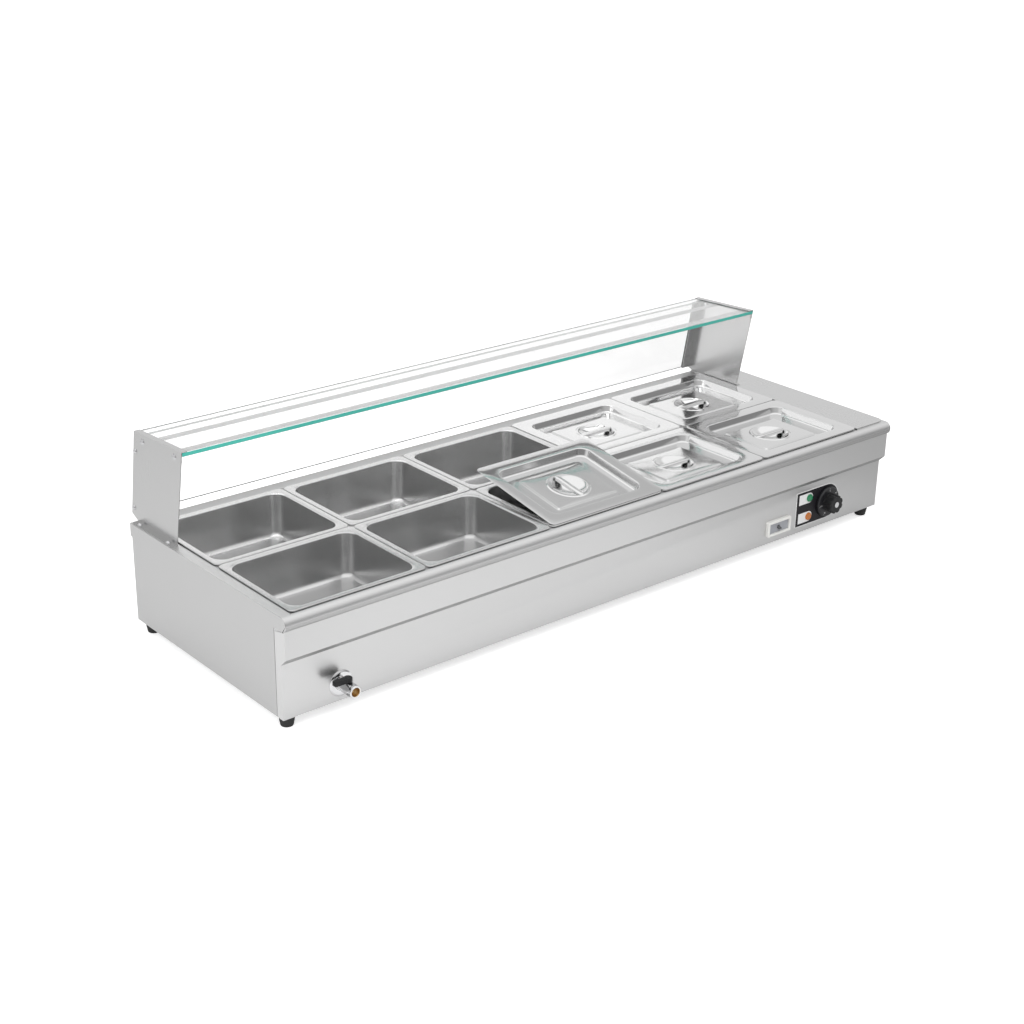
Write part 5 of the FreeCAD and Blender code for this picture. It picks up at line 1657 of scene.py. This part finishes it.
@dataclass(frozen=True)
class SoftLamp:
    """Square soft light aimed at a point, which doesn't show in the metal."""

    name: str
    place: Triple
    target: Triple
    size: float
    power: float

    def build(self) -> None:
        """Add the lamp to the scene."""
        light = bpy.data.lights.new(self.name, "AREA")
        light.size = self.size
        light.energy = self.power
        holder = bpy.data.objects.new(self.name, light)
        holder.location = self.place
        aim = Vector(self.target) - Vector(self.place)
        holder.rotation_euler = aim.to_track_quat("-Z", "Y").to_euler()
        holder.visible_glossy = False
        bpy.context.scene.collection.objects.link(holder)


@dataclass
class Studio:
    """Plain white studio with soft light from the upper left and front, in metres.

    Steel shows the floor darker than the camera does, and darker to the right: painted shade that only metal
    sees. A pair named reach gives where along a direction or an axis a shade sets in and where it is full.
    """

    camera_place: Triple = (-2.4930, -2.8344, 1.7327)
    camera_turn: Triple = (67.182, -0.861, -39.980)
    lens: float = 62.53
    sensor: float = 36.0
    lamps: tuple[SoftLamp, ...] = (SoftLamp("key", (-1.2, -1.8, 3.0), (0.0, 0.0, 0.2), 3.6, 75.0),
                                   SoftLamp("left", (-3.4, -0.4, 1.6), (-0.5, 0.0, 0.15), 2.0, 24.0))
    world_light: float = 0.62
    glossy_light: float = 0.92
    front_dark: float = 0.62
    front_reach: Pair = (0.1, 0.6)
    horizon_reach: Pair = (0.10, 0.55)
    rear_dark: float = 0.28
    rear_reach: Pair = (0.0, 0.4)
    rear_lower_reach: Pair = (0.42, 0.56)
    rear_upper_reach: Pair = (0.62, 0.68)
    top_gain: float = 0.36
    top_reach: Pair = (0.64, 0.76)
    floor_size: Pair = (-12.0, 12.0)
    floor_tone: float = 0.9
    floor_lift: float = 0.60
    floor_seen: Pair = (0.95, 0.60)
    fade_reach: Pair = (0.35, 1.2)
    left_dark: float = 0.36
    left_reach: Pair = (0.30, 1.05)
    near_reach: Pair = (0.42, 0.80)
    contact_dark: float = 0.15
    contact_x_reach: Pair = (-0.90, -0.86)
    contact_y_reach: Pair = (-0.345, -0.305)
    far_dark: float = 0.6
    far_reach: Pair = (0.8, 2.2)

    def build(self) -> None:
        """Make the floor, the world, the lamps and the camera."""
        scene = bpy.context.scene
        scene.view_settings.view_transform = "Standard"
        self.build_world(scene)
        self.build_floor()
        for lamp in self.lamps:
            lamp.build()
        camera = bpy.data.cameras.new("camera")
        camera.lens = self.lens
        camera.sensor_width = self.sensor
        holder = bpy.data.objects.new("camera", camera)
        holder.location = self.camera_place
        holder.rotation_euler = [math.radians(turn) for turn in self.camera_turn]
        scene.collection.objects.link(holder)
        scene.camera = holder

    def seen_and_shine(self, nodes: Nodes) -> tuple[Socket, Socket]:
        """Tell rays that the camera sees, straight or through glass, and rays that metal reflects.

        Args:
            nodes: Calls for the tree.

        Returns:
            Two outputs, each 1 for its rays and 0 for others.
        """
        paths = nodes.add("ShaderNodeLightPath").outputs
        seen = nodes.math("MAXIMUM", paths["Is Camera Ray"], paths["Is Transmission Ray"])
        return seen, paths["Is Glossy Ray"]

    def build_world(self, scene: bpy.types.Scene) -> None:
        """Light the scene evenly, with pure white behind it, and with soft bands that only metal reflects.

        The bands are a dark one low in front, a dark one at half height behind, and a bright one overhead.

        Args:
            scene: The scene.
        """
        world = bpy.data.worlds.new("studio")
        scene.world = world
        world.use_nodes = True
        nodes = Nodes(world.node_tree)
        seen, shine = self.seen_and_shine(nodes)
        generated = nodes.add("ShaderNodeTexCoord").outputs["Generated"]
        way = nodes.add("ShaderNodeSeparateXYZ", Vector=generated).outputs
        ahead = nodes.rise(nodes.product(way["Y"], -1.0), self.front_reach)
        low = nodes.math("SUBTRACT", 1.0, nodes.rise(way["Z"], self.horizon_reach))
        band = nodes.math("SUBTRACT", nodes.rise(way["Z"], self.rear_lower_reach),
                          nodes.rise(way["Z"], self.rear_upper_reach))
        behind = nodes.rise(way["Y"], self.rear_reach)
        overhead = nodes.rise(way["Z"], self.top_reach)
        bands = nodes.total(nodes.product(ahead, low, -self.front_dark),
                            nodes.product(behind, band, -self.rear_dark),
                            nodes.product(overhead, self.top_gain), self.glossy_light - self.world_light)
        strength = nodes.total(nodes.product(seen, 1.0 - self.world_light), nodes.product(shine, bands),
                               self.world_light)
        nodes.fill(world.node_tree.nodes["Background"], Color=WHITE, Strength=strength)

    def build_floor(self) -> None:
        """Lay a white floor under the feet.

        Metal sees painted shade on it: it fades to the right, and is darker to the left in front, close to
        the feet and far in front.
        """
        mesh = bpy.data.meshes.new("floor")
        corners = rectangle(self.floor_size, self.floor_size)
        mesh.from_pydata([(x, y, 0.0) for x, y in corners.tolist()], [], [list(range(len(corners)))])
        material = bpy.data.materials.new("floor")
        material.use_nodes = True
        nodes = Nodes(material.node_tree)
        seen, shine = self.seen_and_shine(nodes)
        place = nodes.add("ShaderNodeSeparateXYZ", Vector=nodes.object_place()).outputs
        forward = nodes.product(place["Y"], -1.0)
        leftward = nodes.product(place["X"], -1.0)
        fade = nodes.add("ShaderNodeMapRange", Value=place["X"], From_Min=self.fade_reach[0],
                         From_Max=self.fade_reach[1], To_Min=self.floor_seen[0], To_Max=self.floor_seen[1])
        left = nodes.product(nodes.rise(forward, self.near_reach), nodes.rise(leftward, self.left_reach),
                             self.left_dark)
        # Painted shade on the floor at the foot of the front panel, seen only in the metal.
        contact = nodes.product(nodes.rise(place["Y"], self.contact_y_reach),
                                nodes.rise(place["X"], self.contact_x_reach), self.contact_dark)
        far = nodes.product(nodes.rise(forward, self.far_reach), self.far_dark)
        shade = nodes.math("SUBTRACT", 1.0, nodes.math("MAXIMUM", left, contact, far))
        plain = nodes.math("SUBTRACT", self.floor_tone, nodes.product(shine, self.floor_tone))
        tone = nodes.total(plain, nodes.product(fade.outputs["Result"], shade, shine))
        nodes.fill(material.node_tree.nodes["Principled BSDF"], Base_Color=tone, Roughness=0.9,
                   Emission_Color=WHITE, Emission_Strength=nodes.product(seen, self.floor_lift))
        mesh.materials.append(material)
        floor = bpy.data.objects.new("floor", mesh)
        bpy.context.scene.collection.objects.link(floor)


def main() -> None:
    """Dress the frame, build all pieces and the studio."""
    logging.basicConfig(level=logging.INFO)
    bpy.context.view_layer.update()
    dress_bare_nodes()
    for finish, names in ROUNDED_SHEETS.items():
        for node in names:
            FoldedSheet(node, finish).build()
    for node in ("left_side_panel", "right_side_panel"):
        SidePanel(node).build()
    TopPlate().build()
    for node in sorted(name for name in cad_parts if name.startswith("pan_")):
        Pan(node).build()
    build_lids()
    ControlPanel().build()
    Breaker().build()
    DrainTap().build()
    Feet().build()
    # The top pane's two pairs place its grey bands of painted reflection behind its front edge.
    GlassPane("top_glass", 8.0, GLASS_EDGE, GROUND_EDGE, ((10.0, 34.0), (104.0, 128.0))).build()
    GlassPane("rear_glass", 6.0, GROUND_EDGE, GROUND_EDGE).build()
    Studio().build()


if __name__ == "__main__":
    main()
